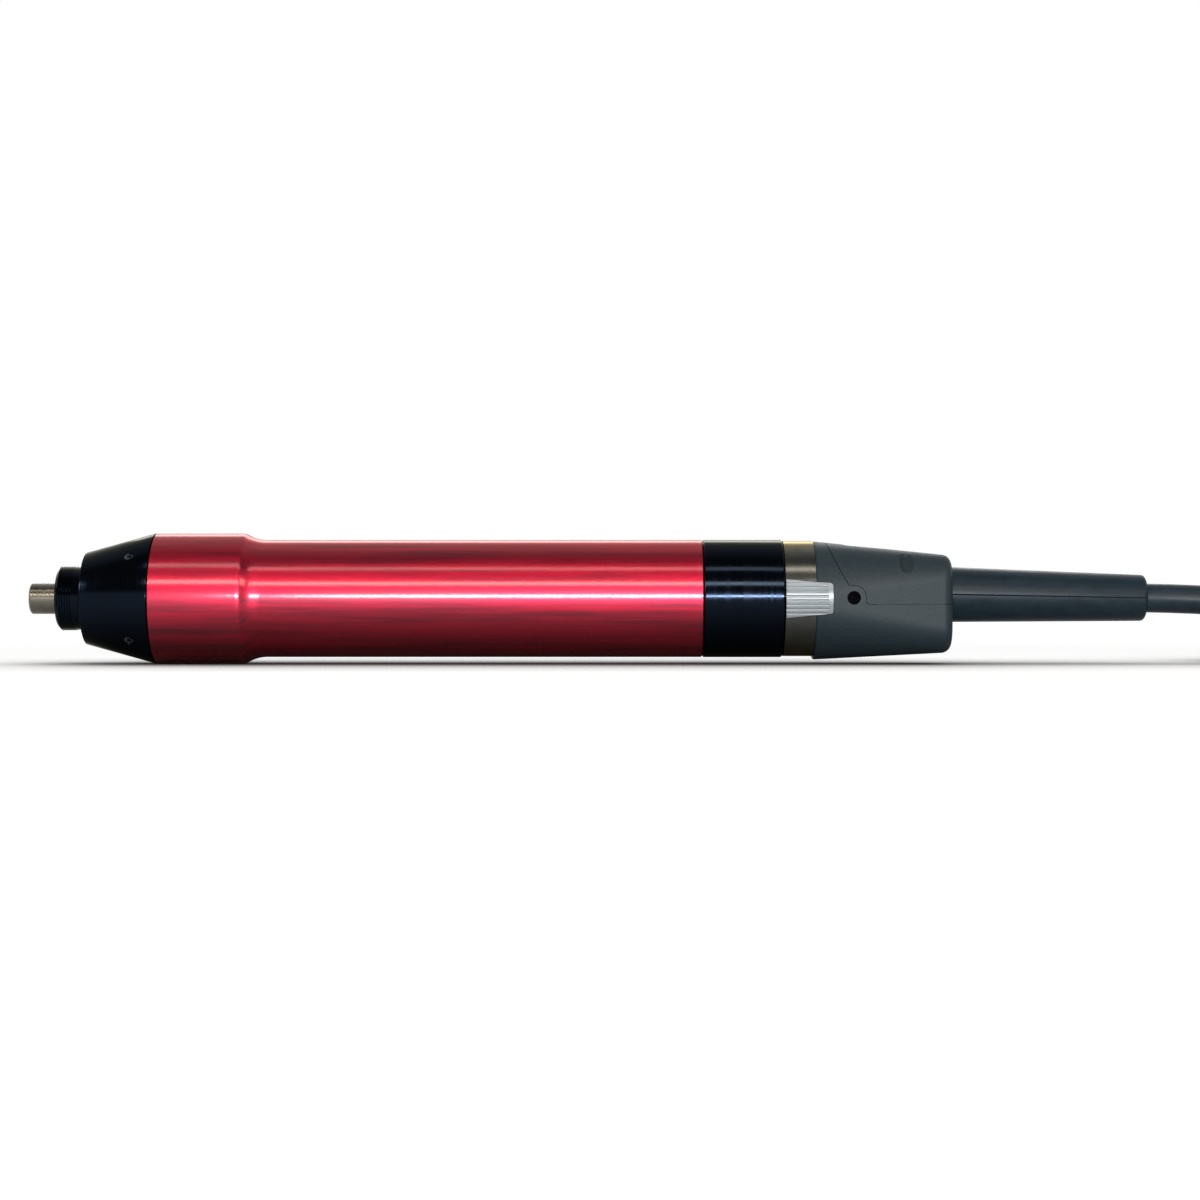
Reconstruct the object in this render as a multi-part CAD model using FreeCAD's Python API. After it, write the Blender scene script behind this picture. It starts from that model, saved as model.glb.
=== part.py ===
import FreeCAD, Part
import math
import os

# Inline electric screwdriver, started by pushing its spindle in, on a cable with a round plug.
# Lengths are in millimetres and angles in degrees. The tool is drawn along its own axis, X,
# from the spindle tip at x = 0 towards the cord. It is then moved to lie on z = 0, with the
# middle of its length over the origin.

# Fits and clearances
SEAT_FIT = 0.03
RUNNING_FIT = 0.05
FACE_GAP = 0.1
MOVING_GAP = 0.3
CUT_OVERRUN = 2.0

# Spindle, its bush and its start spring
SPINDLE_DIAMETER = 9.7
SPINDLE_REACH = 8.8
SPINDLE_CHAMFER = 0.5
BIT_ACROSS_FLATS = 6.4
BIT_DEPTH = 14.0
BIT_MAGNET_DIAMETER = 5.0
BIT_MAGNET_LENGTH = 3.0
PUSH_TRAVEL = 3.0
SHOULDER_DIAMETER = 13.0
SHOULDER_WIDTH = 2.5
TAIL_ACROSS_FLATS = 7.0
TAIL_LENGTH = 18.5
BUSH_WALL = 1.6
BUSH_LENGTH = 10.0
SPRING_LENGTH = 7.7
SPRING_MEAN_DIAMETER = 11.2
SPRING_WIRE = 0.8
SPRING_TURNS = 4

# Nose cone
THREAD_DIAMETER = 20.0
THREAD_LENGTH = 7.7
THREAD_CHAMFER = 1.4
RELIEF_WIDTH = 1.6
RELIEF_DEPTH = 0.6
CONE_FRONT_DIAMETER = 28.2
CONE_LENGTH = 22.7
CONE_FACE_SLANT = 1.0
CONE_FACE_STEP = 0.8
CONE_PROUD = 0.1
NOSE_LIP = 2.0
NOSE_LIP_GAP = 0.4
SET_SCREW_COUNT = 4
SET_SCREW_DIAMETER = 3.0
SET_SCREW_LENGTH = 5.0
SET_SCREW_SOCKET = 1.5
SET_SCREW_SOCKET_DEPTH = 1.4
SET_SCREW_SETBACK = 6.4

# Planetary gears
MODULE = 0.75
PRESSURE_ANGLE = 25.0
SUN_TEETH = 12
PLANET_TEETH = 12
PLANET_COUNT = 3
ADDENDUM_SHARE = 1.0
DEDENDUM_SHARE = 1.25
RING_ADDENDUM_SHARE = 0.8
BACKLASH = 0.06
OUTPUT_GEAR_WIDTH = 7.5
FIRST_GEAR_WIDTH = 6.0
PIN_DIAMETER = 4.0
PLATE_MARGIN = 1.2
HUB_DIAMETER = 12.0
HUB_LENGTH = 13.0
HUB_SOCKET_DEPTH = 15.0
OUTPUT_PLATE_WIDTH = 4.0
FIRST_PLATE_WIDTH = 2.5
RING_RIM = 1.9

# Gear case and its bearing
CASE_WALL = 2.1
SNOUT_WALL = 2.5
SNOUT_LEAD = 3.7
SNOUT_LIP = 1.5
OUTPUT_BEARING_DIAMETER = 21.0
OUTPUT_BEARING_WIDTH = 5.0
OUTPUT_BEARING_LEAD = 1.0
BEARING_RACE_SHARE = 0.3
SHIELD_WIDTH = 0.6
SHIELD_GAP = 0.2

# Torque sensor
SENSOR_FLANGE_WIDTH = 4.0
SENSOR_NECK_LENGTH = 8.0
SENSOR_NECK_DIAMETER = 25.0
SENSOR_NECK_WALL = 1.2
SENSOR_WEB = 3.0
SHAFT_ROOM = 1.5

# Motor
STATOR_DIAMETER = 32.9
STATOR_LENGTH = 48.0
SLOT_COUNT = 9
SLOT_DIAMETER = 4.4
SLOT_MOUTH = 1.2
WIRE_GAP = 0.1
END_TURN_LENGTH = 5.5
END_TURN_ROOM = 0.6
FLANGE_WIDTH = 6.0
FLANGE_LIP = 1.0
MOTOR_BEARING_DIAMETER = 16.0
MOTOR_BEARING_WIDTH = 5.0
SHAFT_DIAMETER = 5.0
ROTOR_CORE_DIAMETER = 12.0
ROTOR_MAGNET_THICKNESS = 3.0
ROTOR_MAGNET_COUNT = 4
ROTOR_MAGNET_SPACING = 1.0
AIR_GAP = 0.5
SENSOR_MAGNET_DIAMETER = 10.0
SENSOR_MAGNET_LENGTH = 4.0
SENSOR_MAGNET_LEAD = 2.5
SENSOR_BOARD_ROOM = 4.0
SENSOR_CHIP = 5.0
SENSOR_CHIP_HEIGHT = 1.5

# Body tube and rear collar
TUBE_LENGTH = 170.3
TUBE_WALL = 1.8
TUBE_CHAMFER = 0.4
FLARE_MARGIN = 0.6
TRANSITION_LENGTH = 7.5
TRANSITION_CONVEX_SHARE = 0.25
BORE_STEP_LENGTH = 3.0
COLLAR_LENGTH = 25.0
COLLAR_PROUD = 0.05
COLLAR_CHAMFER = 0.6
SPIGOT_LENGTH = 10.0
SPIGOT_WALL = 2.15
COLLAR_WALL = 2.8
SEAL_SECTION = 1.0
SEAL_SETBACK = 5.0

# Circuit boards
BOARD_THICKNESS = 1.6
DRIVE_BOARD_ROOM = 4.0
BOARD_GROOVE_DEPTH = 0.5
DRIVE_BOARD_DROP = 4.0
TRANSISTOR_COUNT = 3
TRANSISTOR_LENGTH = 6.5
TRANSISTOR_WIDTH = 5.5
TRANSISTOR_HEIGHT = 2.2
TRANSISTOR_PITCH = 8.5
CAPACITOR_DIAMETER = 8.0
CAPACITOR_LENGTH = 12.0
CAPACITOR_SPACING = 9.0

# Light ring, lenses and inner frame
LIGHT_RING_THICKNESS = 2.47
LIGHT_RING_LENGTH = 9.4
LIGHT_RING_HOOP = 0.9
FRAME_WALL = 1.8
FRAME_ENTRY = 8.5
FRAME_PAST_RING = 2.2
CHEEK_STEP = 2.0
CHEEK_LENGTH = 14.0
CHEEK_HEIGHT = 10.0
LENS_LENGTH = 14.4
LENS_FRONT_HEIGHT = 11.9
LENS_REAR_HEIGHT = 9.4
LENS_CORNER = 0.9
LENS_PROUD = 0.15
LENS_GAP = 0.15
LENS_RIB_COUNT = 7
LENS_RIB_PITCH = 1.35
LENS_GROOVE_DIAMETER = 1.0
LENS_RIM = 1.4
LIGHT_WINDOW_LENGTH = 6.0
LIGHT_WINDOW_LEAD = 1.6
LIGHT_WINDOW_HEIGHT = 6.0
LIGHT_BOARD_LENGTH = 9.0
LIGHT_BOARD_HEIGHT = 9.0
LIGHT_BOARD_THICKNESS = 1.0
DIODE_SIZE = 2.0
DIODE_HEIGHT = 0.8

# Rear housing
HOUSING_LENGTH = 42.2
HOUSING_FRONT_ROOM = 0.95
HOUSING_FRONT_DROP = 0.6
HOUSING_FRONT_FLAT = 1.2
HOUSING_REAR_HEIGHT = 30.0
HOUSING_REAR_WIDTH = 30.0
HOUSING_REAR_DROP = 1.7
HOUSING_REAR_CORNER = 7.5
HOUSING_EDGE_ROUND = 3.0
SHELL_WALL = 2.0
REAR_WALL = 3.0
SHELL_GAP = 0.15
LIP_HEIGHT = 1.2
LIP_ROOT = 1.0
LIP_SETBACK = 2.0
HOUSING_FRONT_ROUND = 0.5
PARTING_TOP_SETBACK = 3.5
PARTING_BEND_SETBACK = 6.9
PARTING_BEND_HEIGHT = 9.7
PARTING_RUN_OUT = 1.7
PARTING_RUN_OUT_BEND_SHARES = (0.28, 0.72)
BOSS_DIAMETER = 7.8
BOSS_START_ANGLE = 110.0
BOSS_END_ANGLE = -14.0
BOSS_FLOOR = 0.8
SHELL_SCREW_SETBACK = 11.4
SHELL_SCREW_HEIGHT = 0.2
SHELL_SCREW_DIAMETER = 2.5
SHELL_SCREW_HEAD_DIAMETER = 4.0
SHELL_SCREW_HEAD_HEIGHT = 1.1
SHELL_SCREW_HOLE_DIAMETER = 4.2
SHELL_SCREW_SOCKET = 2.0
SHELL_SCREW_SOCKET_DEPTH = 0.8
RECESS_SETBACK = 28.0
RECESS_DIAMETER = 4.4
RECESS_LENGTH = 5.6
RECESS_ANGLE = 43.0
RECESS_DEPTH = 1.3

# Reverse button and its switch
BUTTON_SETBACK = 16.2
BUTTON_LENGTH = 13.0
BUTTON_WIDTH = 9.4
BUTTON_CORNER = 2.0
BUTTON_GAP = 0.3
BUTTON_MOUTH = 0.5
BUTTON_SINK = 0.2
BUTTON_TRAVEL = 0.8
BUTTON_FLANGE_MARGIN = 1.0
BUTTON_FLANGE_GAP = 0.6
BUTTON_FLANGE_THICKNESS = 1.0
BUTTON_STEM_DIAMETER = 3.0
BUTTON_STEM_LENGTH = 2.6
SWITCH_SIZE = 6.0
SWITCH_HEIGHT = 3.5
SWITCH_ENTRY = 0.5
SWITCH_BOARD_LENGTH = 10.0
SWITCH_BOARD_WIDTH = 20.0
SWITCH_POST_DIAMETER = 2.8
SWITCH_POST_SPACING = 16.6

# Strain relief and cable clamp
BOOT_LENGTH = 61.5
BOOT_FRONT_DIAMETER = 17.2
BOOT_REAR_DIAMETER = 14.4
BOOT_FRONT_RISE = 1.25
BOOT_REAR_RISE = 0.16
BOOT_END_CHAMFER = 1.4
BOOT_FLANGE_DIAMETER = 19.6
BOOT_FLANGE_WIDTH = 3.0
CLAMP_ROOM = 1.0
CLAMP_LENGTH = 6.0
CLAMP_WIDTH = 21.0
CLAMP_HEIGHT = 6.0
CLAMP_SCREW_SPACING = 15.4
CLAMP_SCREW_DIAMETER = 2.4
CLAMP_SCREW_HEAD_DIAMETER = 4.4
CLAMP_SCREW_HEAD_HEIGHT = 1.8
CLAMP_SCREW_REACH = 6.0
CLAMP_POST_DIAMETER = 5.0

# Cord, tied up in a hank of two layers, and its plug
CORD_DIAMETER = 9.0
CORD_INSIDE = 14.0
LEAD_MOVES = ((25.0, 0.0), (30.5, -15.8), (24.5, 0.0))
LEAD_DROP_SHARES = (0.09, 1.0, 1.0)
HANK_HALF_RUN = 45.0
HANK_INNER_OFFSET = 24.6
HANK_SIDE_GAP = 1.4
HANK_WAIST = 8.0
HANK_LAYER_GAP = 0.7
HANK_RUNS_PER_LAYER = 4
HANK_TAIL = 34.0
HANK_TAIL_STEP = 4.0
TIE_THICKNESS = 1.2
TIE_WIDTH = 14.0
TIE_GAP = 0.8
TIE_CORNER = 5.0
PLUG_GLAND_LENGTH = 16.0
PLUG_GLAND_DIAMETER = 13.0
PLUG_SHELL_DIAMETER = 17.2
PLUG_SHELL_LENGTH = 12.0
PLUG_BARREL_DIAMETER = 14.8
PLUG_BARREL_LENGTH = 9.0
PLUG_BARREL_WALL = 1.0
PLUG_CHAMFER = 0.8
NUT_DIAMETER = 19.0
NUT_LENGTH = 16.0
NUT_BORE = 15.2
NUT_MOUTH_DIAMETER = 16.0
NUT_MOUTH_DEPTH = 7.0
NUT_FLUTES = 12
NUT_FLUTE_DIAMETER = 2.4
NUT_FLUTE_DEPTH = 0.5
CONTACT_COUNT = 6
CONTACT_DIAMETER = 1.2
CONTACT_CIRCLE = 7.0
CONTACT_REACH = 4.5
INSERT_LENGTH = 4.0

# Radii that follow from the sizes above
SPINDLE_R = SPINDLE_DIAMETER / 2
BUSH_R = SPINDLE_R + RUNNING_FIT + BUSH_WALL
RING_TEETH = SUN_TEETH + 2 * PLANET_TEETH
PLANET_ORBIT_R = MODULE * (SUN_TEETH + PLANET_TEETH) / 2
RING_PITCH_R = MODULE * RING_TEETH / 2
RING_OUTER_R = RING_PITCH_R + DEDENDUM_SHARE * MODULE + RING_RIM
PLATE_R = PLANET_ORBIT_R + PIN_DIAMETER / 2 + PLATE_MARGIN
CASE_R = RING_OUTER_R + SEAT_FIT + CASE_WALL
FLARE_BORE_R = CASE_R + SEAT_FIT
FLARE_R = FLARE_BORE_R + TUBE_WALL
SNOUT_R = OUTPUT_BEARING_DIAMETER / 2 + SEAT_FIT + SNOUT_WALL
STATOR_R = STATOR_DIAMETER / 2
TUBE_BORE_R = STATOR_R + SEAT_FIT
TUBE_R = TUBE_BORE_R + TUBE_WALL
COLLAR_R = TUBE_R + COLLAR_PROUD
COLLAR_BORE_R = STATOR_R - SPIGOT_WALL
BOARD_CORNER_R = COLLAR_BORE_R + BOARD_GROOVE_DEPTH
DRIVE_BOARD_HALF = math.sqrt(BOARD_CORNER_R**2 - (DRIVE_BOARD_DROP + BOARD_THICKNESS) ** 2)
FRAME_R = COLLAR_R - COLLAR_WALL - SEAT_FIT
CHEEK_R = FRAME_R - CHEEK_STEP
LIGHT_RING_R = FRAME_R + SEAT_FIT + LIGHT_RING_THICKNESS
HOUSING_FRONT_R = FRAME_R + HOUSING_FRONT_ROOM + SHELL_WALL
LENS_R = HOUSING_FRONT_R + LENS_PROUD
CORD_R = CORD_DIAMETER / 2
HANK_STEP = CORD_DIAMETER + HANK_SIDE_GAP
HANK_LAYER = CORD_DIAMETER + HANK_LAYER_GAP

# Stations along the axis that follow from the sizes above
X_THREAD = SPINDLE_REACH
X_CONE = X_THREAD + THREAD_LENGTH
X_TUBE = X_CONE + CONE_LENGTH
X_COLLAR = X_TUBE + TUBE_LENGTH
X_LIGHT_RING = X_COLLAR + COLLAR_LENGTH
X_HOUSING = X_LIGHT_RING + LIGHT_RING_LENGTH
X_BOOT = X_HOUSING + HOUSING_LENGTH
X_CORD = X_BOOT + BOOT_LENGTH
X_BUSH = X_THREAD + NOSE_LIP
X_SHOULDER = X_BUSH + BUSH_LENGTH + FACE_GAP
X_SPRING = X_SHOULDER + SHOULDER_WIDTH
X_HUB = X_SPRING + SPRING_LENGTH
X_OUTPUT_BEARING = X_HUB + OUTPUT_BEARING_LEAD
X_SNOUT = X_HUB - SNOUT_LEAD
X_OUTPUT_PLATE = X_HUB + HUB_LENGTH
X_OUTPUT_GEARS = X_OUTPUT_PLATE + OUTPUT_PLATE_WIDTH + MOVING_GAP
X_FIRST_PLATE = X_OUTPUT_GEARS + OUTPUT_GEAR_WIDTH + MOVING_GAP
X_FIRST_GEARS = X_FIRST_PLATE + FIRST_PLATE_WIDTH + MOVING_GAP
X_CASE_END = X_FIRST_GEARS + FIRST_GEAR_WIDTH + MOVING_GAP
X_FLARE_END = X_CASE_END + FLARE_MARGIN
X_SENSOR = X_CASE_END + FACE_GAP
X_MOTOR = X_SENSOR + 2 * SENSOR_FLANGE_WIDTH + SENSOR_NECK_LENGTH + FACE_GAP
X_STATOR = X_MOTOR + FLANGE_WIDTH + END_TURN_ROOM + END_TURN_LENGTH
X_REAR_FLANGE = X_STATOR + STATOR_LENGTH + END_TURN_LENGTH + END_TURN_ROOM
X_SENSOR_MAGNET = X_REAR_FLANGE + FLANGE_WIDTH + SENSOR_MAGNET_LEAD
X_SHAFT_END = X_SENSOR_MAGNET + SENSOR_MAGNET_LENGTH
X_SENSOR_BOARD = X_SHAFT_END + SENSOR_BOARD_ROOM
X_FRAME = X_LIGHT_RING - FRAME_ENTRY
X_CHEEK = X_HOUSING + FRAME_PAST_RING
X_DRIVE_BOARD = X_SENSOR_BOARD + BOARD_THICKNESS + DRIVE_BOARD_ROOM
X_SHELL_SCREW = X_HOUSING + SHELL_SCREW_SETBACK
X_BUTTON = X_HOUSING + BUTTON_SETBACK
X_REAR_WALL = X_BOOT - REAR_WALL
X_BOOT_FLANGE = X_REAR_WALL - MOVING_GAP - BOOT_FLANGE_WIDTH
X_CLAMP = X_BOOT_FLANGE - CLAMP_ROOM - CLAMP_LENGTH

# Where the tool lies
X_MIDDLE = X_CORD / 2
AXIS_HEIGHT = FLARE_R + CONE_PROUD
BOOT_TILT = math.degrees(math.atan2(BOOT_FRONT_RISE - BOOT_REAR_RISE, BOOT_LENGTH))
TOP_FALL = HOUSING_FRONT_R - HOUSING_FRONT_DROP - HOUSING_REAR_HEIGHT / 2 + HOUSING_REAR_DROP
TOP_TILT = math.degrees(math.atan2(TOP_FALL, HOUSING_LENGTH))

V = FreeCAD.Vector
ORIGIN = V(0, 0, 0)
ALONG = V(1, 0, 0)
ACROSS = V(0, 1, 0)
UP = V(0, 0, 1)


def rod(x0, x1, radius):
    return Part.makeCylinder(radius, x1 - x0, V(x0, 0, 0), ALONG)


def tube(x0, x1, outer_radius, inner_radius):
    return rod(x0, x1, outer_radius).cut(rod(x0, x1, inner_radius))


def turned(points):
    """Solid of revolution about the tool's axis from a closed outline of (x, radius) points."""
    corners = [V(x, 0, radius) for x, radius in points]
    outline = Part.makePolygon(corners + corners[:1])
    return Part.Face(outline).revolve(ORIGIN, ALONG, 360)


def block(x0, x1, y0, y1, z0, z1):
    return Part.makeBox(x1 - x0, y1 - y0, z1 - z0, V(x0, y0, z0))


def hex_rod(x0, x1, across_flats):
    radius = across_flats / math.sqrt(3)
    turns = [math.radians(60 * side) for side in range(6)]
    corners = [V(x0, radius * math.cos(turn), radius * math.sin(turn)) for turn in turns]
    return Part.Face(Part.makePolygon(corners + corners[:1])).extrude(V(x1 - x0, 0, 0))


def spun(shape, angle):
    copy = shape.copy()
    copy.rotate(ORIGIN, ALONG, angle)
    return copy


def moved(shape, x, y, z):
    copy = shape.copy()
    copy.translate(V(x, y, z))
    return copy


def mirrored(shape):
    """The same shape on the other side of the tool's upright middle plane."""
    return shape.mirror(ORIGIN, ACROSS)


def fused(first, *others):
    shape = first
    for other in others:
        shape = shape.fuse(other)
    return shape.removeSplitter()


# Spindle and nose


def spindle():
    shank_end = X_SHOULDER
    shank = turned(
        (
            (0, 0),
            (0, SPINDLE_R - SPINDLE_CHAMFER),
            (SPINDLE_CHAMFER, SPINDLE_R),
            (shank_end, SPINDLE_R),
            (shank_end, SHOULDER_DIAMETER / 2),
            (X_SPRING, SHOULDER_DIAMETER / 2),
            (X_SPRING, 0),
        )
    )
    tail = hex_rod(X_SPRING, X_SPRING + TAIL_LENGTH, TAIL_ACROSS_FLATS)
    magnet_room = rod(BIT_DEPTH, BIT_DEPTH + BIT_MAGNET_LENGTH, BIT_MAGNET_DIAMETER / 2 + SEAT_FIT)
    return fused(shank, tail).cut(hex_rod(0, BIT_DEPTH, BIT_ACROSS_FLATS)).cut(magnet_room)


def bit_magnet():
    return rod(BIT_DEPTH, BIT_DEPTH + BIT_MAGNET_LENGTH, BIT_MAGNET_DIAMETER / 2)


def start_spring():
    """Flat-wire spring between the spindle's shoulder and the hub that drives it."""
    height = SPRING_LENGTH - SPRING_WIRE - 2 * FACE_GAP
    mean_radius = SPRING_MEAN_DIAMETER / 2
    path = Part.makeHelix(height / SPRING_TURNS, height, mean_radius)
    half = SPRING_WIRE / 2
    section = [
        V(mean_radius - half, 0, -half),
        V(mean_radius + half, 0, -half),
        V(mean_radius + half, 0, half),
        V(mean_radius - half, 0, half),
    ]
    outline = Part.makePolygon(section + section[:1])
    coil = Part.Wire(path).makePipeShell([outline], True, True)
    coil.rotate(ORIGIN, ACROSS, 90)
    return moved(coil, X_SPRING + FACE_GAP + half, 0, 0)


def nose_bush():
    return tube(X_BUSH, X_BUSH + BUSH_LENGTH, BUSH_R, SPINDLE_R + RUNNING_FIT)


def cone_radius(x):
    front = CONE_FRONT_DIAMETER / 2
    rear = FLARE_R + CONE_PROUD
    return front + (rear - front) * (x - X_CONE) / CONE_LENGTH


def set_screw_place():
    """Station of the set screws and the radius at which their outer ends lie."""
    x = X_TUBE - SET_SCREW_SETBACK
    return x, SNOUT_R + SEAT_FIT + SET_SCREW_LENGTH


def around_nose(shape):
    """Copies of an upright shape at the set screws' places round the cone."""
    step = 360 / SET_SCREW_COUNT
    return [spun(shape, step / 2 + step * place) for place in range(SET_SCREW_COUNT)]


def nose_cone():
    thread_r = THREAD_DIAMETER / 2
    relief_r = thread_r - RELIEF_DEPTH
    shoulder_room = SHOULDER_DIAMETER / 2 + 2 * MOVING_GAP
    snout_room = SNOUT_R + SEAT_FIT
    body = turned(
        (
            (X_THREAD, SPINDLE_R + NOSE_LIP_GAP),
            (X_THREAD, thread_r - THREAD_CHAMFER),
            (X_THREAD + THREAD_CHAMFER, thread_r),
            (X_CONE - RELIEF_WIDTH, thread_r),
            (X_CONE - RELIEF_WIDTH, relief_r),
            (X_CONE, relief_r),
            (X_CONE, thread_r + CONE_FACE_STEP),
            (X_CONE + CONE_FACE_SLANT, cone_radius(X_CONE + CONE_FACE_SLANT)),
            (X_TUBE - FACE_GAP, cone_radius(X_TUBE - FACE_GAP)),
            (X_TUBE - FACE_GAP, snout_room),
            (X_SNOUT - FACE_GAP, snout_room),
            (X_SNOUT - FACE_GAP, shoulder_room),
            (X_BUSH + BUSH_LENGTH, shoulder_room),
            (X_BUSH + BUSH_LENGTH, BUSH_R + SEAT_FIT),
            (X_BUSH, BUSH_R + SEAT_FIT),
            (X_BUSH, SPINDLE_R + NOSE_LIP_GAP),
        )
    )
    x, _ = set_screw_place()
    hole = Part.makeCylinder(SET_SCREW_DIAMETER / 2 + SEAT_FIT, FLARE_R, V(x, 0, 0), UP)
    for cutter in around_nose(hole.cut(rod(X_SNOUT, X_TUBE, SNOUT_R))):
        body = body.cut(cutter)
    return body


def set_screws():
    x, top = set_screw_place()
    foot = top - SET_SCREW_LENGTH
    screw = Part.makeCylinder(SET_SCREW_DIAMETER / 2, SET_SCREW_LENGTH, V(x, 0, foot), UP)
    socket = hex_rod(0, SET_SCREW_SOCKET_DEPTH, SET_SCREW_SOCKET)
    socket.rotate(ORIGIN, ACROSS, -90)
    screw = screw.cut(moved(socket, x, 0, top - SET_SCREW_SOCKET_DEPTH))
    return around_nose(screw)


# Gears and bearings


def polar(radius, angle):
    return V(0, radius * math.cos(angle), radius * math.sin(angle))


def involute(angle):
    return math.tan(angle) - angle


def gear_face(teeth, tip_radius, root_radius, thinning, turn):
    """Face of a spur gear, square to X, with a tooth middle at the angle turn (radians)."""
    pressure = math.radians(PRESSURE_ANGLE)
    pitch_radius = MODULE * teeth / 2
    base_radius = pitch_radius * math.cos(pressure)
    foot_radius = max(root_radius, base_radius)
    middle_radius = (foot_radius + tip_radius) / 2
    at_pitch = math.pi / (2 * teeth) - thinning / (2 * pitch_radius)

    def half_angle(radius):
        return at_pitch + involute(pressure) - involute(math.acos(base_radius / radius))

    foot, middle, tip = (half_angle(r) for r in (foot_radius, middle_radius, tip_radius))
    edges = []
    for tooth in range(teeth):
        centre = turn + 2 * math.pi * tooth / teeth
        following = centre + 2 * math.pi / teeth
        rise = [polar(foot_radius, centre - foot), polar(middle_radius, centre - middle)]
        land = [polar(tip_radius, centre + tip * side) for side in (-1, 0, 1)]
        fall = [polar(middle_radius, centre + middle), polar(foot_radius, centre + foot)]
        valley = [
            polar(root_radius, centre + foot),
            polar(root_radius, centre + math.pi / teeth),
            polar(root_radius, following - foot),
        ]
        edges.append(Part.Arc(rise[0], rise[1], land[0]).toShape())
        edges.append(Part.Arc(*land).toShape())
        edges.append(Part.Arc(land[2], fall[0], fall[1]).toShape())
        if foot_radius > root_radius:
            edges.append(Part.LineSegment(fall[1], valley[0]).toShape())
        edges.append(Part.Arc(*valley).toShape())
        if foot_radius > root_radius:
            edges.append(Part.LineSegment(valley[2], polar(foot_radius, following - foot)).toShape())
    return Part.Face(Part.Wire(edges))


def outer_gear(teeth, x, width, turn):
    pitch_radius = MODULE * teeth / 2
    tip_radius = pitch_radius + ADDENDUM_SHARE * MODULE
    root_radius = pitch_radius - DEDENDUM_SHARE * MODULE
    face = gear_face(teeth, tip_radius, root_radius, BACKLASH, turn)
    return moved(face.extrude(V(width, 0, 0)), x, 0, 0)


def ring_gear():
    x0 = X_OUTPUT_GEARS - MOVING_GAP
    length = X_CASE_END - x0
    tip_radius = RING_PITCH_R - RING_ADDENDUM_SHARE * MODULE
    root_radius = RING_PITCH_R + DEDENDUM_SHARE * MODULE
    spaces = gear_face(RING_TEETH, root_radius, tip_radius, -BACKLASH, math.pi / RING_TEETH)
    return rod(x0, X_CASE_END, RING_OUTER_R).cut(moved(spaces.extrude(V(length, 0, 0)), x0, 0, 0))


def on_orbit(shape, place):
    """A shape on the tool's axis, moved out to one of the planets' places."""
    return spun(moved(shape, 0, PLANET_ORBIT_R, 0), 360 * place / PLANET_COUNT)


def planet(x, width, place):
    gear = outer_gear(PLANET_TEETH, x, width, math.pi / PLANET_TEETH)
    bore = rod(x, x + width, PIN_DIAMETER / 2 + RUNNING_FIT)
    return on_orbit(gear.cut(bore), place)


def planet_pins(x0, x1):
    return [on_orbit(rod(x0, x1, PIN_DIAMETER / 2), place) for place in range(PLANET_COUNT)]


def pin_holes(x0, x1):
    hole = rod(x0, x1, PIN_DIAMETER / 2 + SEAT_FIT)
    return Part.makeCompound([on_orbit(hole, place) for place in range(PLANET_COUNT)])


def output_carrier():
    """Hub with a hexagon socket that drives the sliding spindle, and the plate for its planets."""
    plate_end = X_OUTPUT_PLATE + OUTPUT_PLATE_WIDTH
    body = fused(
        rod(X_HUB, X_OUTPUT_PLATE, HUB_DIAMETER / 2),
        rod(X_OUTPUT_PLATE, plate_end, PLATE_R),
    )
    socket = hex_rod(X_HUB, X_HUB + HUB_SOCKET_DEPTH, TAIL_ACROSS_FLATS + 2 * FACE_GAP)
    return body.cut(socket).cut(pin_holes(X_OUTPUT_PLATE, plate_end))


def first_carrier():
    """Plate for the first planets, with the sun gear of the output stage in one piece with it."""
    plate_end = X_FIRST_PLATE + FIRST_PLATE_WIDTH
    plate = rod(X_FIRST_PLATE, plate_end, PLATE_R)
    sun = outer_gear(SUN_TEETH, X_OUTPUT_GEARS, X_FIRST_PLATE - X_OUTPUT_GEARS, 0)
    return fused(plate, sun).cut(pin_holes(X_FIRST_PLATE, plate_end))


def bearing_outer(x, width, outer_diameter, bore):
    """Outer ring of a shielded ball bearing, with both shields."""
    outer = outer_diameter / 2
    thickness = (outer - bore / 2) * BEARING_RACE_SHARE
    lip = bore / 2 + thickness + SHIELD_GAP
    return turned(
        (
            (x, lip),
            (x, outer),
            (x + width, outer),
            (x + width, lip),
            (x + width - SHIELD_WIDTH, lip),
            (x + width - SHIELD_WIDTH, outer - thickness),
            (x + SHIELD_WIDTH, outer - thickness),
            (x + SHIELD_WIDTH, lip),
        )
    )


def bearing_inner(x, width, outer_diameter, bore):
    thickness = (outer_diameter / 2 - bore / 2) * BEARING_RACE_SHARE
    return tube(x, x + width, bore / 2 + thickness, bore / 2 + SEAT_FIT)


def output_bearing(ring):
    return ring(X_OUTPUT_BEARING, OUTPUT_BEARING_WIDTH, OUTPUT_BEARING_DIAMETER, HUB_DIAMETER)


def motor_bearing_stations():
    front = X_MOTOR + FLANGE_WIDTH - MOTOR_BEARING_WIDTH
    return front, X_REAR_FLANGE


def motor_bearing(ring, end):
    x = motor_bearing_stations()[end]
    return ring(x, MOTOR_BEARING_WIDTH, MOTOR_BEARING_DIAMETER, SHAFT_DIAMETER)


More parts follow.
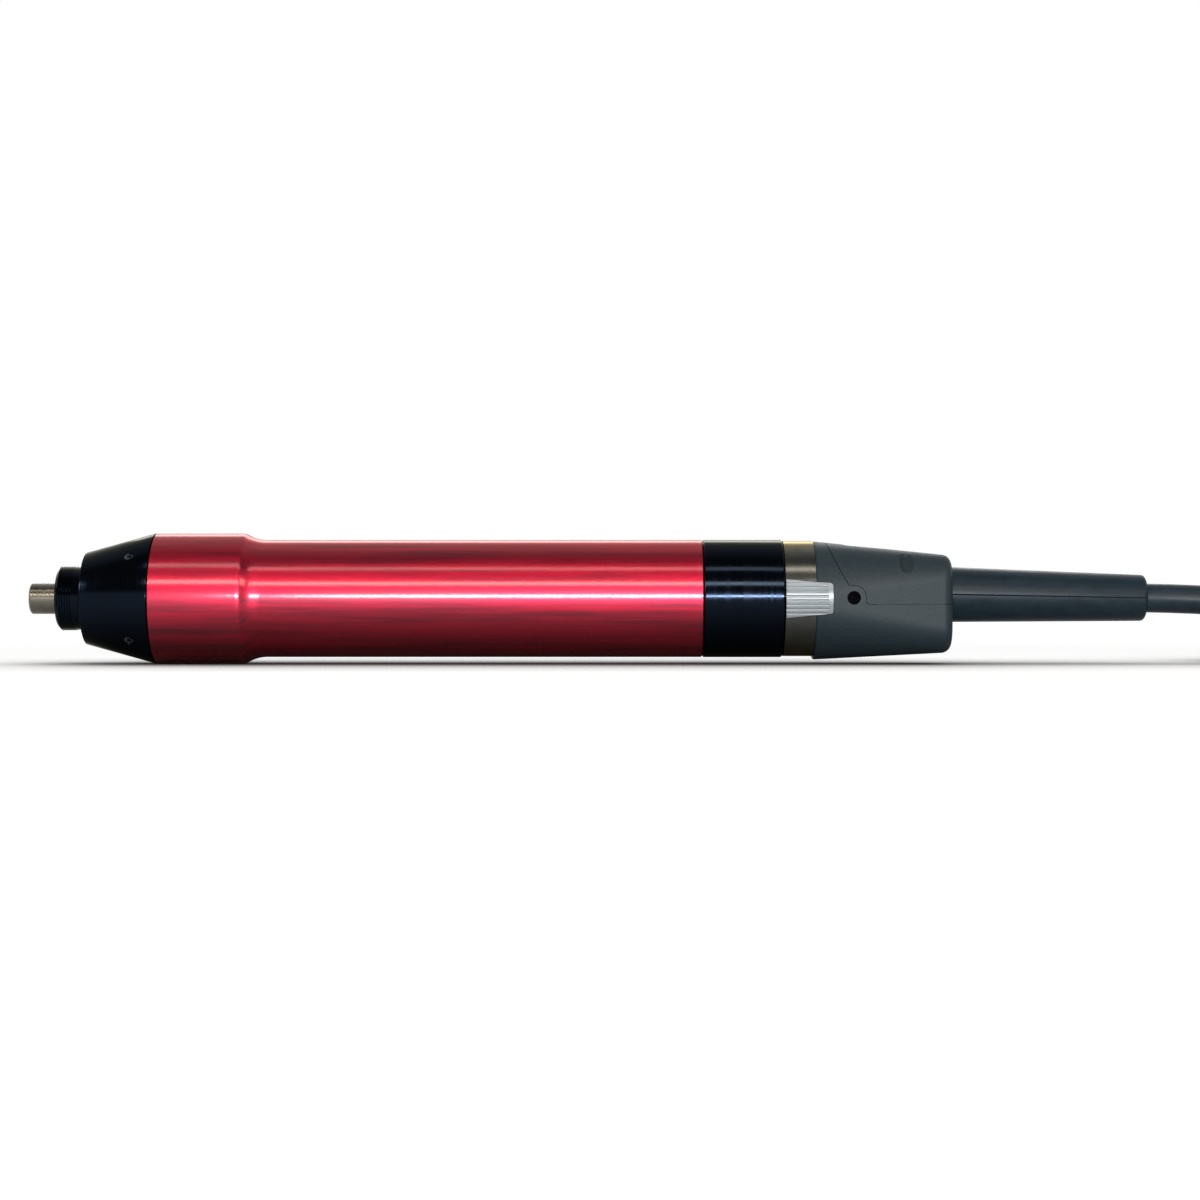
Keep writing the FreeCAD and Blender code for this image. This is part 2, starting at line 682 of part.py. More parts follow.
def gear_case():
    seat = OUTPUT_BEARING_DIAMETER / 2 + SEAT_FIT
    lip = seat - SNOUT_LIP
    plate_room = PLATE_R + 2 * MOVING_GAP
    x_plate_room = X_OUTPUT_PLATE - 2 * MOVING_GAP
    x_ring = X_OUTPUT_GEARS - MOVING_GAP
    ring_seat = RING_OUTER_R + SEAT_FIT
    return turned(
        (
            (X_SNOUT, lip),
            (X_SNOUT, SNOUT_R),
            (X_TUBE, SNOUT_R),
            (X_TUBE, CASE_R),
            (X_CASE_END, CASE_R),
            (X_CASE_END, ring_seat),
            (x_ring, ring_seat),
            (x_ring, plate_room),
            (x_plate_room, plate_room),
            (x_plate_room, seat),
            (X_OUTPUT_BEARING, seat),
            (X_OUTPUT_BEARING, lip),
        )
    )


# Torque sensor and motor


def torque_sensor():
    """Spool whose thin neck twists a little under the drive's reaction."""
    neck = SENSOR_NECK_DIAMETER / 2
    bore = neck - SENSOR_NECK_WALL
    shaft_room = SHAFT_DIAMETER / 2 + SHAFT_ROOM
    x_neck = X_SENSOR + SENSOR_FLANGE_WIDTH
    x_rear = x_neck + SENSOR_NECK_LENGTH
    x_end = x_rear + SENSOR_FLANGE_WIDTH
    return turned(
        (
            (X_SENSOR, shaft_room),
            (X_SENSOR, TUBE_BORE_R - SEAT_FIT),
            (x_neck, TUBE_BORE_R - SEAT_FIT),
            (x_neck, neck),
            (x_rear, neck),
            (x_rear, TUBE_BORE_R - SEAT_FIT),
            (x_end, TUBE_BORE_R - SEAT_FIT),
            (x_end, bore),
            (X_SENSOR + SENSOR_WEB, bore),
            (X_SENSOR + SENSOR_WEB, shaft_room),
        )
    )


def motor_flange(end):
    x0 = (X_MOTOR, X_REAR_FLANGE)[end]
    seat_x = motor_bearing_stations()[end]
    disc = rod(x0, x0 + FLANGE_WIDTH, STATOR_R)
    seat = rod(seat_x, seat_x + MOTOR_BEARING_WIDTH, MOTOR_BEARING_DIAMETER / 2 + SEAT_FIT)
    opening = rod(x0, x0 + FLANGE_WIDTH, MOTOR_BEARING_DIAMETER / 2 - FLANGE_LIP)
    return disc.cut(seat).cut(opening)


def rotor_radius():
    return ROTOR_CORE_DIAMETER / 2 + ROTOR_MAGNET_THICKNESS


def slot_circle():
    """Radius at which the middles of the winding slots lie."""
    bore = rotor_radius() + AIR_GAP
    return bore + SLOT_DIAMETER / 2 + SLOT_MOUTH


def stator_core():
    bore = rotor_radius() + AIR_GAP
    core = tube(X_STATOR, X_STATOR + STATOR_LENGTH, STATOR_R, bore)
    slot = moved(rod(X_STATOR, X_STATOR + STATOR_LENGTH, SLOT_DIAMETER / 2), 0, slot_circle(), 0)
    mouth = block(
        X_STATOR,
        X_STATOR + STATOR_LENGTH,
        0,
        slot_circle(),
        -SLOT_MOUTH / 2,
        SLOT_MOUTH / 2,
    )
    cutter = slot.fuse(mouth)
    for place in range(SLOT_COUNT):
        core = core.cut(spun(cutter, 360 * place / SLOT_COUNT))
    return core


def stator_windings():
    """Copper in the slots, joined by the end turns at both ends of the core."""
    radius = SLOT_DIAMETER / 2 - WIRE_GAP
    inner = slot_circle() - radius
    outer = slot_circle() + radius
    x_end = X_STATOR + STATOR_LENGTH
    copper = tube(X_STATOR - END_TURN_LENGTH, X_STATOR - FACE_GAP, outer, inner)
    copper = copper.fuse(tube(x_end + FACE_GAP, x_end + END_TURN_LENGTH, outer, inner))
    bar = moved(rod(X_STATOR - FACE_GAP, x_end + FACE_GAP, radius), 0, slot_circle(), 0)
    for place in range(SLOT_COUNT):
        copper = copper.fuse(spun(bar, 360 * place / SLOT_COUNT))
    return copper


def rotor_shaft():
    """Shaft with the first sun gear cut on its front end and the core that carries the magnets."""
    pinion = outer_gear(SUN_TEETH, X_FIRST_GEARS, FIRST_GEAR_WIDTH, 0)
    shaft = rod(X_FIRST_GEARS, X_SHAFT_END, SHAFT_DIAMETER / 2)
    core = rod(X_STATOR, X_STATOR + STATOR_LENGTH, ROTOR_CORE_DIAMETER / 2)
    return fused(pinion, shaft, core)


def rotor_magnets():
    shell = tube(
        X_STATOR,
        X_STATOR + STATOR_LENGTH,
        rotor_radius(),
        ROTOR_CORE_DIAMETER / 2 + SEAT_FIT,
    )
    half = ROTOR_MAGNET_SPACING / 2
    gap = block(X_STATOR, X_STATOR + STATOR_LENGTH, 0, STATOR_R, -half, half)
    for place in range(ROTOR_MAGNET_COUNT):
        shell = shell.cut(spun(gap, 360 * place / ROTOR_MAGNET_COUNT))
    return shell.Solids


def sensor_magnet():
    return tube(X_SENSOR_MAGNET, X_SHAFT_END, SENSOR_MAGNET_DIAMETER / 2, SHAFT_DIAMETER / 2 + SEAT_FIT)


def sensor_board():
    half = SENSOR_CHIP / 2
    board = rod(X_SENSOR_BOARD, X_SENSOR_BOARD + BOARD_THICKNESS, TUBE_BORE_R - SEAT_FIT)
    chip = block(X_SENSOR_BOARD - SENSOR_CHIP_HEIGHT, X_SENSOR_BOARD, -half, half, -half, half)
    return fused(board, chip)


# Body tube, collar and drive board


def body_tube():
    """Grip tube: wide over the gears, drawn down by an S-shaped shoulder to the motor's size."""
    fall = FLARE_R - TUBE_R
    lean = 2 * math.atan2(fall, TRANSITION_LENGTH)
    both = TRANSITION_LENGTH / math.sin(lean)
    convex = both * TRANSITION_CONVEX_SHARE
    concave = both - convex
    x_end = X_FLARE_END + TRANSITION_LENGTH

    def on_convex(angle):
        return V(X_FLARE_END + convex * math.sin(angle), 0, FLARE_R - convex * (1 - math.cos(angle)))

    def on_concave(angle):
        return V(x_end - concave * math.sin(angle), 0, TUBE_R + concave * (1 - math.cos(angle)))

    x_bore = X_CASE_END + FACE_GAP
    before = [
        V(X_TUBE, 0, FLARE_BORE_R),
        V(X_TUBE, 0, FLARE_R - TUBE_CHAMFER),
        V(X_TUBE + TUBE_CHAMFER, 0, FLARE_R),
        on_convex(0),
    ]
    after = [
        on_concave(0),
        V(X_COLLAR - TUBE_CHAMFER, 0, TUBE_R),
        V(X_COLLAR, 0, TUBE_R - TUBE_CHAMFER),
        V(X_COLLAR, 0, TUBE_BORE_R),
        V(x_bore + BORE_STEP_LENGTH, 0, TUBE_BORE_R),
        V(x_bore, 0, FLARE_BORE_R),
        before[0],
    ]
    edges = list(Part.makePolygon(before).Edges)
    edges.append(Part.Arc(on_convex(0), on_convex(lean / 2), on_convex(lean)).toShape())
    edges.append(Part.Arc(on_concave(lean), on_concave(lean / 2), on_concave(0)).toShape())
    edges += Part.makePolygon(after).Edges
    return Part.Face(Part.Wire(edges)).revolve(ORIGIN, ALONG, 360)


def rear_collar():
    x_spigot = X_COLLAR - SPIGOT_LENGTH
    x_seal = X_COLLAR - SEAL_SETBACK
    seal_floor = STATOR_R - SEAL_SECTION
    body = turned(
        (
            (x_spigot, COLLAR_BORE_R),
            (x_spigot, STATOR_R),
            (x_seal - SEAL_SECTION / 2 - FACE_GAP, STATOR_R),
            (x_seal - SEAL_SECTION / 2 - FACE_GAP, seal_floor),
            (x_seal + SEAL_SECTION / 2 + FACE_GAP, seal_floor),
            (x_seal + SEAL_SECTION / 2 + FACE_GAP, STATOR_R),
            (X_COLLAR, STATOR_R),
            (X_COLLAR, COLLAR_R - TUBE_CHAMFER),
            (X_COLLAR + TUBE_CHAMFER, COLLAR_R),
            (X_LIGHT_RING - COLLAR_CHAMFER, COLLAR_R),
            (X_LIGHT_RING, COLLAR_R - COLLAR_CHAMFER),
            (X_LIGHT_RING, FRAME_R + SEAT_FIT),
            (X_FRAME, FRAME_R + SEAT_FIT),
            (X_FRAME, COLLAR_BORE_R),
        )
    )
    half = DRIVE_BOARD_HALF + FACE_GAP
    groove = block(
        x_spigot,
        X_FRAME,
        -half,
        half,
        -DRIVE_BOARD_DROP - BOARD_THICKNESS - FACE_GAP,
        -DRIVE_BOARD_DROP + FACE_GAP,
    )
    return body.cut(groove)


def collar_seal():
    section = SEAL_SECTION / 2
    return Part.makeTorus(STATOR_R - section, section, V(X_COLLAR - SEAL_SETBACK, 0, 0), ALONG)


def drive_board():
    half = DRIVE_BOARD_HALF
    top = -DRIVE_BOARD_DROP
    return block(X_DRIVE_BOARD, X_FRAME - FACE_GAP, -half, half, top - BOARD_THICKNESS, top)


def drive_components():
    """Power transistors under the board and two capacitors lying on it."""
    floor = -DRIVE_BOARD_DROP - BOARD_THICKNESS
    pieces = []
    for place in range(TRANSISTOR_COUNT):
        x = X_DRIVE_BOARD + TRANSISTOR_PITCH * place + TRANSISTOR_LENGTH / 2
        for side in (-1, 1):
            y = side * TRANSISTOR_PITCH / 2
            pieces.append(
                block(
                    x,
                    x + TRANSISTOR_LENGTH,
                    y - TRANSISTOR_WIDTH / 2,
                    y + TRANSISTOR_WIDTH / 2,
                    floor - TRANSISTOR_HEIGHT,
                    floor,
                )
            )
    radius = CAPACITOR_DIAMETER / 2
    x0 = X_DRIVE_BOARD + CAPACITOR_DIAMETER
    can = rod(x0, x0 + CAPACITOR_LENGTH, radius)
    for side in (-1, 1):
        pieces.append(moved(can, 0, side * CAPACITOR_SPACING / 2, radius - DRIVE_BOARD_DROP))
    return pieces


# Light ring, lenses and inner frame


def lens_outline(room):
    """Face of the side window in the X-Z plane, larger all round by the given room."""
    x0 = X_LIGHT_RING + FACE_GAP - room
    x1 = X_LIGHT_RING + LENS_LENGTH + room
    front = LENS_FRONT_HEIGHT / 2 + room
    rear = LENS_REAR_HEIGHT / 2 + room
    corner = LENS_CORNER + room
    diagonal = corner * (1 - math.sqrt(0.5))
    upper = [V(x1 - corner, 0, rear), V(x1 - diagonal, 0, rear - diagonal), V(x1, 0, rear - corner)]
    lower = [V(p.x, 0, -p.z) for p in reversed(upper)]
    edges = [
        Part.LineSegment(V(x0, 0, -front), V(x0, 0, front)).toShape(),
        Part.LineSegment(V(x0, 0, front), upper[0]).toShape(),
        Part.Arc(*upper).toShape(),
        Part.LineSegment(upper[2], lower[0]).toShape(),
        Part.Arc(*lower).toShape(),
        Part.LineSegment(lower[2], V(x0, 0, -front)).toShape(),
    ]
    return Part.Face(Part.Wire(edges))


def hoop_radius():
    """Outer radius of the thin hoop that runs on behind the lenses."""
    return FRAME_R + SEAT_FIT + LIGHT_RING_HOOP


def lens_prism(room):
    """The window's outline carried from the hoop out past the lens, on the near side (-Y)."""
    prism = lens_outline(room).extrude(V(0, -LENS_R - CUT_OVERRUN, 0))
    return prism.cut(rod(X_FRAME, X_BOOT, hoop_radius()))


def light_opening():
    """Bar along Y through both windows, for the light behind them."""
    x = X_LIGHT_RING + LIGHT_WINDOW_LEAD
    half = LIGHT_WINDOW_HEIGHT / 2
    return block(x, x + LIGHT_WINDOW_LENGTH, -LENS_R, LENS_R, -half, half)


def light_lens():
    """Ribbed clear window, curved with the body, on the near side."""
    wall = tube(X_LIGHT_RING, X_LIGHT_RING + LENS_LENGTH, LENS_R, hoop_radius() + SEAT_FIT)
    lens = wall.common(lens_prism(0))
    groove_r = LENS_GROOVE_DIAMETER / 2
    x_end = X_LIGHT_RING + LENS_LENGTH - LENS_RIM
    groove = moved(rod(X_LIGHT_RING, x_end, groove_r), 0, -LENS_R - groove_r / 2, 0)
    step = math.degrees(LENS_RIB_PITCH / LENS_R)
    for rib in range(LENS_RIB_COUNT + 1):
        lens = lens.cut(spun(groove, step * (rib - LENS_RIB_COUNT / 2)))
    return lens


def light_ring():
    ring = tube(X_LIGHT_RING, X_HOUSING - FACE_GAP, LIGHT_RING_R, FRAME_R + SEAT_FIT)
    window = lens_prism(LENS_GAP)
    return ring.cut(window).cut(mirrored(window)).cut(light_opening())


def rear_frame():
    """Inner sleeve that joins the collar to the housing, with two cheeks for the side screws."""
    inner = FRAME_R - FRAME_WALL
    cheek_inner = CHEEK_R - FRAME_WALL
    sleeve = tube(X_FRAME, X_CHEEK, FRAME_R, inner)
    rim = tube(X_CHEEK - FRAME_WALL, X_CHEEK, FRAME_R, cheek_inner)
    cheeks = tube(X_CHEEK, X_CHEEK + CHEEK_LENGTH, CHEEK_R, cheek_inner)
    half = CHEEK_HEIGHT / 2
    cheeks = cheeks.common(block(X_CHEEK, X_CHEEK + CHEEK_LENGTH, -FRAME_R, FRAME_R, -half, half))
    tapped = Part.makeCylinder(
        SHELL_SCREW_DIAMETER / 2 + SEAT_FIT,
        2 * FRAME_R,
        V(X_SHELL_SCREW, -FRAME_R, SHELL_SCREW_HEIGHT),
        ACROSS,
    )
    return fused(sleeve, rim, cheeks).cut(light_opening()).cut(tapped)


def light_board():
    """Board with three light diodes that stands behind a side window, on the near side."""
    half = LIGHT_BOARD_HEIGHT / 2
    inner = FRAME_R - FRAME_WALL
    face = math.sqrt(inner**2 - half**2) - FACE_GAP
    x1 = X_CHEEK - FRAME_WALL - FACE_GAP
    x0 = x1 - LIGHT_BOARD_LENGTH
    board = block(x0, x1, -face, -face + LIGHT_BOARD_THICKNESS, -half, half)
    middle = X_LIGHT_RING + LIGHT_WINDOW_LEAD + LIGHT_WINDOW_LENGTH / 2
    for place in (-1, 0, 1):
        z = place * DIODE_SIZE
        diode = block(
            middle - DIODE_SIZE / 2,
            middle + DIODE_SIZE / 2,
            -face - DIODE_HEIGHT,
            -face,
            z - DIODE_SIZE / 2,
            z + DIODE_SIZE / 2,
        )
        board = board.fuse(diode)
    return board.removeSplitter()


# Rear housing


def housing_section(share, inset):
    """Rounded outline of the housing at a share of its length, made smaller by an inset."""

    def between(front, rear):
        return front + (rear - front) * share

    x = X_HOUSING + HOUSING_LENGTH * share
    half_height = between(HOUSING_FRONT_R, HOUSING_REAR_HEIGHT / 2) - inset
    half_width = between(HOUSING_FRONT_R, HOUSING_REAR_WIDTH / 2) - inset
    front_corner = HOUSING_FRONT_R - HOUSING_FRONT_FLAT / 2
    corner = between(front_corner, HOUSING_REAR_CORNER) - inset
    middle = -between(HOUSING_FRONT_DROP, HOUSING_REAR_DROP)
    flat_y = half_width - corner
    flat_z = half_height - corner
    edges = []
    ends = []
    for quarter in range(4):
        turns = [math.radians(90 * quarter + 45 * step) for step in range(3)]
        sign_y = (1, -1, -1, 1)[quarter]
        sign_z = (1, 1, -1, -1)[quarter]
        arc = [
            V(
                x,
                sign_y * flat_y + corner * math.cos(turn),
                middle + sign_z * flat_z + corner * math.sin(turn),
            )
            for turn in turns
        ]
        ends.append(arc)
    for quarter, arc in enumerate(ends):
        edges.append(Part.Arc(*arc).toShape())
        edges.append(Part.LineSegment(arc[2], ends[(quarter + 1) % 4][0]).toShape())
    return Part.Wire(edges)


def housing_outer():
    """Round where it meets the light ring, nearly square at the rear, with rounded rear edges."""
    body = Part.makeLoft([housing_section(0, 0), housing_section(1, 0)], True, True)
    rear = [edge for edge in body.Edges if edge.BoundBox.XMin > X_BOOT - FACE_GAP]
    body = body.makeFillet(HOUSING_EDGE_ROUND, rear)
    front = [edge for edge in body.Edges if edge.BoundBox.XMax < X_HOUSING + FACE_GAP]
    return body.makeFillet(HOUSING_FRONT_ROUND, front)


def housing_cavity():
    sections = [housing_section(0, SHELL_WALL), housing_section(1, SHELL_WALL)]
    room = Part.makeLoft(sections, True, True)
    return room.common(
        block(X_HOUSING, X_REAR_WALL, -FLARE_R, FLARE_R, -2 * FLARE_R, 2 * FLARE_R)
    )


def upper_region():
    """Everything above the jogged line that parts the upper cover from the lower shell."""
    screw = V(X_SHELL_SCREW, 0, SHELL_SCREW_HEIGHT)
    high = 2 * HOUSING_FRONT_R
    floor = -HOUSING_REAR_DROP
    x_end = X_BOOT + CUT_OVERRUN

    def on_boss(angle):
        turn = math.radians(angle)
        return screw + V(math.cos(turn), 0, math.sin(turn)) * (BOSS_DIAMETER / 2)

    top = V(X_HOUSING + PARTING_TOP_SETBACK, 0, HOUSING_FRONT_R)
    bend = V(X_HOUSING + PARTING_BEND_SETBACK, 0, PARTING_BEND_HEIGHT)
    knee = on_boss(BOSS_START_ANGLE)
    leave = on_boss(BOSS_END_ANGLE)
    level = V(leave.x + PARTING_RUN_OUT, 0, floor)
    across_share, down_share = PARTING_RUN_OUT_BEND_SHARES
    run_out = V(
        leave.x + PARTING_RUN_OUT * across_share,
        0,
        leave.z + (floor - leave.z) * down_share,
    )
    edges = [
        Part.LineSegment(V(top.x, 0, high), top).toShape(),
        Part.Arc(top, bend, knee).toShape(),
        Part.Arc(knee, on_boss((BOSS_START_ANGLE + BOSS_END_ANGLE) / 2), leave).toShape(),
        Part.Arc(leave, run_out, level).toShape(),
    ]
    close = Part.makePolygon([level, V(x_end, 0, floor), V(x_end, 0, high), V(top.x, 0, high)])
    face = Part.Face(Part.Wire(edges + list(close.Edges)))
    region = face.extrude(V(0, 2 * high, 0))
    return moved(region, 0, -high, 0)


def parting_lip(inset, room):
    """Inner layer of the side walls just above the level parting, where the shells overlap."""
    core = Part.makeLoft([housing_section(0, inset), housing_section(1, inset)], True, True)
    x = X_SHELL_SCREW + BOSS_DIAMETER / 2 + PARTING_RUN_OUT + LIP_SETBACK
    floor = -HOUSING_REAR_DROP
    zone = block(
        x - room,
        X_REAR_WALL,
        -FLARE_R,
        FLARE_R,
        floor - SHELL_GAP - LIP_ROOT,
        floor + LIP_HEIGHT + room,
    )
    return core.cut(housing_cavity()).common(zone)


def boot_tilted(shape):
    """A shape drawn along X from the housing's rear face, laid along the boot's own axis."""
    copy = moved(shape, X_BOOT, 0, BOOT_FRONT_RISE)
    copy.rotate(V(X_BOOT, 0, BOOT_FRONT_RISE), ACROSS, BOOT_TILT)
    return copy


def housing_wall():
    """Both halves of the housing in one, with the window pockets and the cable opening."""
    window = lens_prism(LENS_GAP)
    opening = rod(-REAR_WALL - CUT_OVERRUN, CUT_OVERRUN, BOOT_FRONT_DIAMETER / 2 + FACE_GAP)
    wall = housing_outer().cut(housing_cavity())
    return wall.cut(window).cut(mirrored(window)).cut(boot_tilted(opening))


def side_rod(radius, y0, y1):
    """Round bar along Y at the near side screw, between two distances from the middle plane."""
    return Part.makeCylinder(radius, y1 - y0, V(X_SHELL_SCREW, -y0, SHELL_SCREW_HEIGHT), -ACROSS)


def screw_seat():
    return CHEEK_R + FACE_GAP + BOSS_FLOOR


def lower_shell():
    outer = housing_outer()
    shell = housing_wall().cut(moved(upper_region(), -SHELL_GAP, 0, -SHELL_GAP))
    boss = side_rod(BOSS_DIAMETER / 2 - SHELL_GAP, CHEEK_R + FACE_GAP, FLARE_R).common(outer)
    hole = side_rod(SHELL_SCREW_HOLE_DIAMETER / 2, screw_seat(), FLARE_R)
    bore = side_rod(SHELL_SCREW_DIAMETER / 2 + FACE_GAP, 0, FLARE_R)
    lip = parting_lip((SHELL_WALL + SHELL_GAP) / 2, 0)
    shell = shell.fuse(boss).fuse(mirrored(boss)).fuse(lip)
    for cutter in (hole, bore):
        shell = shell.cut(cutter).cut(mirrored(cutter))
    x = X_CLAMP + CLAMP_LENGTH / 2
    top = clamp_floor() - FACE_GAP
    for side in (-1, 1):
        y = side * CLAMP_SCREW_SPACING / 2
        foot = V(x, y, -2 * FLARE_R)
        post = Part.makeCylinder(CLAMP_POST_DIAMETER / 2, top + 2 * FLARE_R, foot, UP)
        tapped = Part.makeCylinder(
            CLAMP_SCREW_DIAMETER / 2 + SEAT_FIT,
            CLAMP_SCREW_REACH + SHELL_WALL,
            V(x, y, top - CLAMP_SCREW_REACH),
            UP,
        )
        shell = shell.fuse(post.common(outer)).cut(tapped)
    return shell.removeSplitter()


def button_placed(shape):
    """A shape drawn about the origin with the button's face at z = 0, set on the sloping top."""
    copy = shape.copy()
    copy.rotate(ORIGIN, ACROSS, TOP_TILT)
    front_top = HOUSING_FRONT_R - HOUSING_FRONT_DROP
    z = front_top - TOP_FALL * BUTTON_SETBACK / HOUSING_LENGTH
    return moved(copy, X_BUTTON, 0, z)


def rounded_block(length, width, corner, z0, z1):
    body = block(-length / 2, length / 2, -width / 2, width / 2, z0, z1)
    upright = [e for e in body.Edges if abs(e.BoundBox.ZLength - (z1 - z0)) < SEAT_FIT]
    return body.makeFillet(corner, upright)


def button_levels():
    """Depths below the housing's top of the flange's two faces and of the stem's end."""
    flange_top = -SHELL_WALL - BUTTON_FLANGE_GAP
    flange_foot = flange_top - BUTTON_FLANGE_THICKNESS
    return flange_top, flange_foot, flange_foot - BUTTON_STEM_LENGTH


def reverse_button():
    flange_top, flange_foot, stem_end = button_levels()
    cap = rounded_block(BUTTON_LENGTH, BUTTON_WIDTH, BUTTON_CORNER, flange_foot, CUT_OVERRUN)
    margin = 2 * BUTTON_FLANGE_MARGIN
    flange = rounded_block(
        BUTTON_LENGTH + margin,
        BUTTON_WIDTH + margin,
        BUTTON_CORNER,
        flange_foot,
        flange_top,
    )
    stem = Part.makeCylinder(
        BUTTON_STEM_DIAMETER / 2,
        flange_foot - stem_end,
        V(0, 0, stem_end),
        UP,
    )
    sunk = button_placed(cap).common(moved(housing_outer(), 0, 0, -BUTTON_SINK))
    return fused(sunk, button_placed(flange.fuse(stem)))


def switch_levels():
    """Depths of the switch's top, of its board's top and of its board's underside."""
    top = button_levels()[2] + SWITCH_ENTRY
    board = top - SWITCH_HEIGHT
    return top, board, board - BOARD_THICKNESS


def switch_board():
    top, board_top, board_foot = switch_levels()
    half = SWITCH_SIZE / 2
    plate = block(
        -SWITCH_BOARD_LENGTH / 2,
        SWITCH_BOARD_LENGTH / 2,
        -SWITCH_BOARD_WIDTH / 2,
        SWITCH_BOARD_WIDTH / 2,
        board_foot,
        board_top,
    )
    body = block(-half, half, -half, half, board_top, top)
    room = SWITCH_ENTRY + BUTTON_TRAVEL + MOVING_GAP
    well = Part.makeCylinder(BUTTON_STEM_DIAMETER / 2 + FACE_GAP, room, V(0, 0, top - room), UP)
    return button_placed(fused(plate, body).cut(well))


def upper_cover():
    outer = housing_outer()
    cover = housing_wall().common(upper_region())
    board_top = switch_levels()[1]
    for side in (-1, 1):
        foot = V(0, side * SWITCH_POST_SPACING / 2, board_top + FACE_GAP)
        post = Part.makeCylinder(SWITCH_POST_DIAMETER / 2, FLARE_R, foot, UP)
        cover = cover.fuse(button_placed(post).common(outer))
    opening = rounded_block(
        BUTTON_LENGTH + 2 * BUTTON_GAP,
        BUTTON_WIDTH + 2 * BUTTON_GAP,
        BUTTON_CORNER + BUTTON_GAP,
        -SHELL_WALL - CUT_OVERRUN,
        CUT_OVERRUN,
    )
    mouth_foot = -BUTTON_MOUTH
    mouth = rounded_block(
        BUTTON_LENGTH + 2 * (BUTTON_GAP + BUTTON_MOUTH),
        BUTTON_WIDTH + 2 * (BUTTON_GAP + BUTTON_MOUTH),
        BUTTON_CORNER + BUTTON_GAP + BUTTON_MOUTH,
        mouth_foot,
        CUT_OVERRUN,
    )
    foot_edges = [e for e in mouth.Edges if e.BoundBox.ZMax < mouth_foot + SEAT_FIT]
    mouth = mouth.makeChamfer(BUTTON_MOUTH - SEAT_FIT, foot_edges)
    rebate = parting_lip((SHELL_WALL - SHELL_GAP) / 2, SHELL_GAP)
    cover = cover.cut(button_placed(opening)).cut(button_placed(mouth)).cut(rebate)
    recess = side_recess()
    return cover.cut(recess).cut(mirrored(recess)).removeSplitter()


def side_recess():
    """Round-ended hollow on the rounded upper corner of the near side."""
    share = RECESS_SETBACK / HOUSING_LENGTH
    front_corner = HOUSING_FRONT_R - HOUSING_FRONT_FLAT / 2
    corner = front_corner + (HOUSING_REAR_CORNER - front_corner) * share
    half = HOUSING_FRONT_R * (1 - share) + HOUSING_REAR_HEIGHT / 2 * share
    drop = HOUSING_FRONT_DROP * (1 - share) + HOUSING_REAR_DROP * share
    turn = math.radians(RECESS_ANGLE)
    out = V(0, -math.cos(turn), math.sin(turn))
    lie = V(0, math.sin(turn), math.cos(turn))
    centre = V(X_HOUSING + RECESS_SETBACK, corner - half, half - corner - drop)
    radius = RECESS_DIAMETER / 2
    middle = centre + out * (corner + radius - RECESS_DEPTH)
    start = middle - lie * (RECESS_LENGTH / 2)
    hollow = Part.makeCylinder(radius, RECESS_LENGTH, start, lie)
    ends = [Part.makeSphere(radius, end) for end in (start, start + lie * RECESS_LENGTH)]
    return fused(hollow, *ends)


def shell_screws():
    seat = screw_seat() + FACE_GAP
    top = seat + SHELL_SCREW_HEAD_HEIGHT
    head = side_rod(SHELL_SCREW_HEAD_DIAMETER / 2, seat, top)
    shank = side_rod(SHELL_SCREW_DIAMETER / 2, CHEEK_R - FRAME_WALL, seat)
    socket = hex_rod(0, SHELL_SCREW_SOCKET_DEPTH, SHELL_SCREW_SOCKET)
    socket.rotate(ORIGIN, UP, 90)
    socket = moved(socket, X_SHELL_SCREW, -top, SHELL_SCREW_HEIGHT)
    screw = fused(head, shank).cut(socket)
    return [screw, mirrored(screw)]


# Strain relief, clamp and cord


def strain_relief():
    """Tapered rubber boot, held by a flange behind the housing's rear wall."""
    front = BOOT_FRONT_DIAMETER / 2
    rear = BOOT_REAR_DIAMETER / 2
    flange = BOOT_FLANGE_DIAMETER / 2
    bore = CORD_R + SEAT_FIT
    neck = -REAR_WALL - MOVING_GAP
    x_flange = neck - BOOT_FLANGE_WIDTH
    length = BOOT_LENGTH / math.cos(math.radians(BOOT_TILT))
    return boot_tilted(
        turned(
            (
                (x_flange, bore),
                (x_flange, flange),
                (neck, flange),
                (neck, front),
                (0, front),
                (length - BOOT_END_CHAMFER, rear),
                (length, rear - BOOT_END_CHAMFER),
                (length, bore),
            )
        )
    )


def cord_inner():
    """The length of cord that the boot and the clamp hold."""
    length = BOOT_LENGTH / math.cos(math.radians(BOOT_TILT))
    return boot_tilted(rod(-CORD_INSIDE, length, CORD_R))


def clamp_floor():
    """Height of the cord's middle where the clamp holds it."""
    x = X_CLAMP + CLAMP_LENGTH / 2
    return BOOT_FRONT_RISE + (X_BOOT - x) * math.tan(math.radians(BOOT_TILT))


def cable_clamp():
    floor = clamp_floor()
    half = CLAMP_WIDTH / 2
    bar = block(X_CLAMP, X_CLAMP + CLAMP_LENGTH, -half, half, floor, floor + CLAMP_HEIGHT)
    groove = boot_tilted(rod(-HOUSING_LENGTH, 0, CORD_R + SEAT_FIT))
    bar = bar.cut(groove)
    x = X_CLAMP + CLAMP_LENGTH / 2
    for side in (-1, 1):
        foot = V(x, side * CLAMP_SCREW_SPACING / 2, floor)
        bar = bar.cut(Part.makeCylinder(CLAMP_SCREW_DIAMETER / 2 + FACE_GAP, CLAMP_HEIGHT, foot, UP))
    return bar


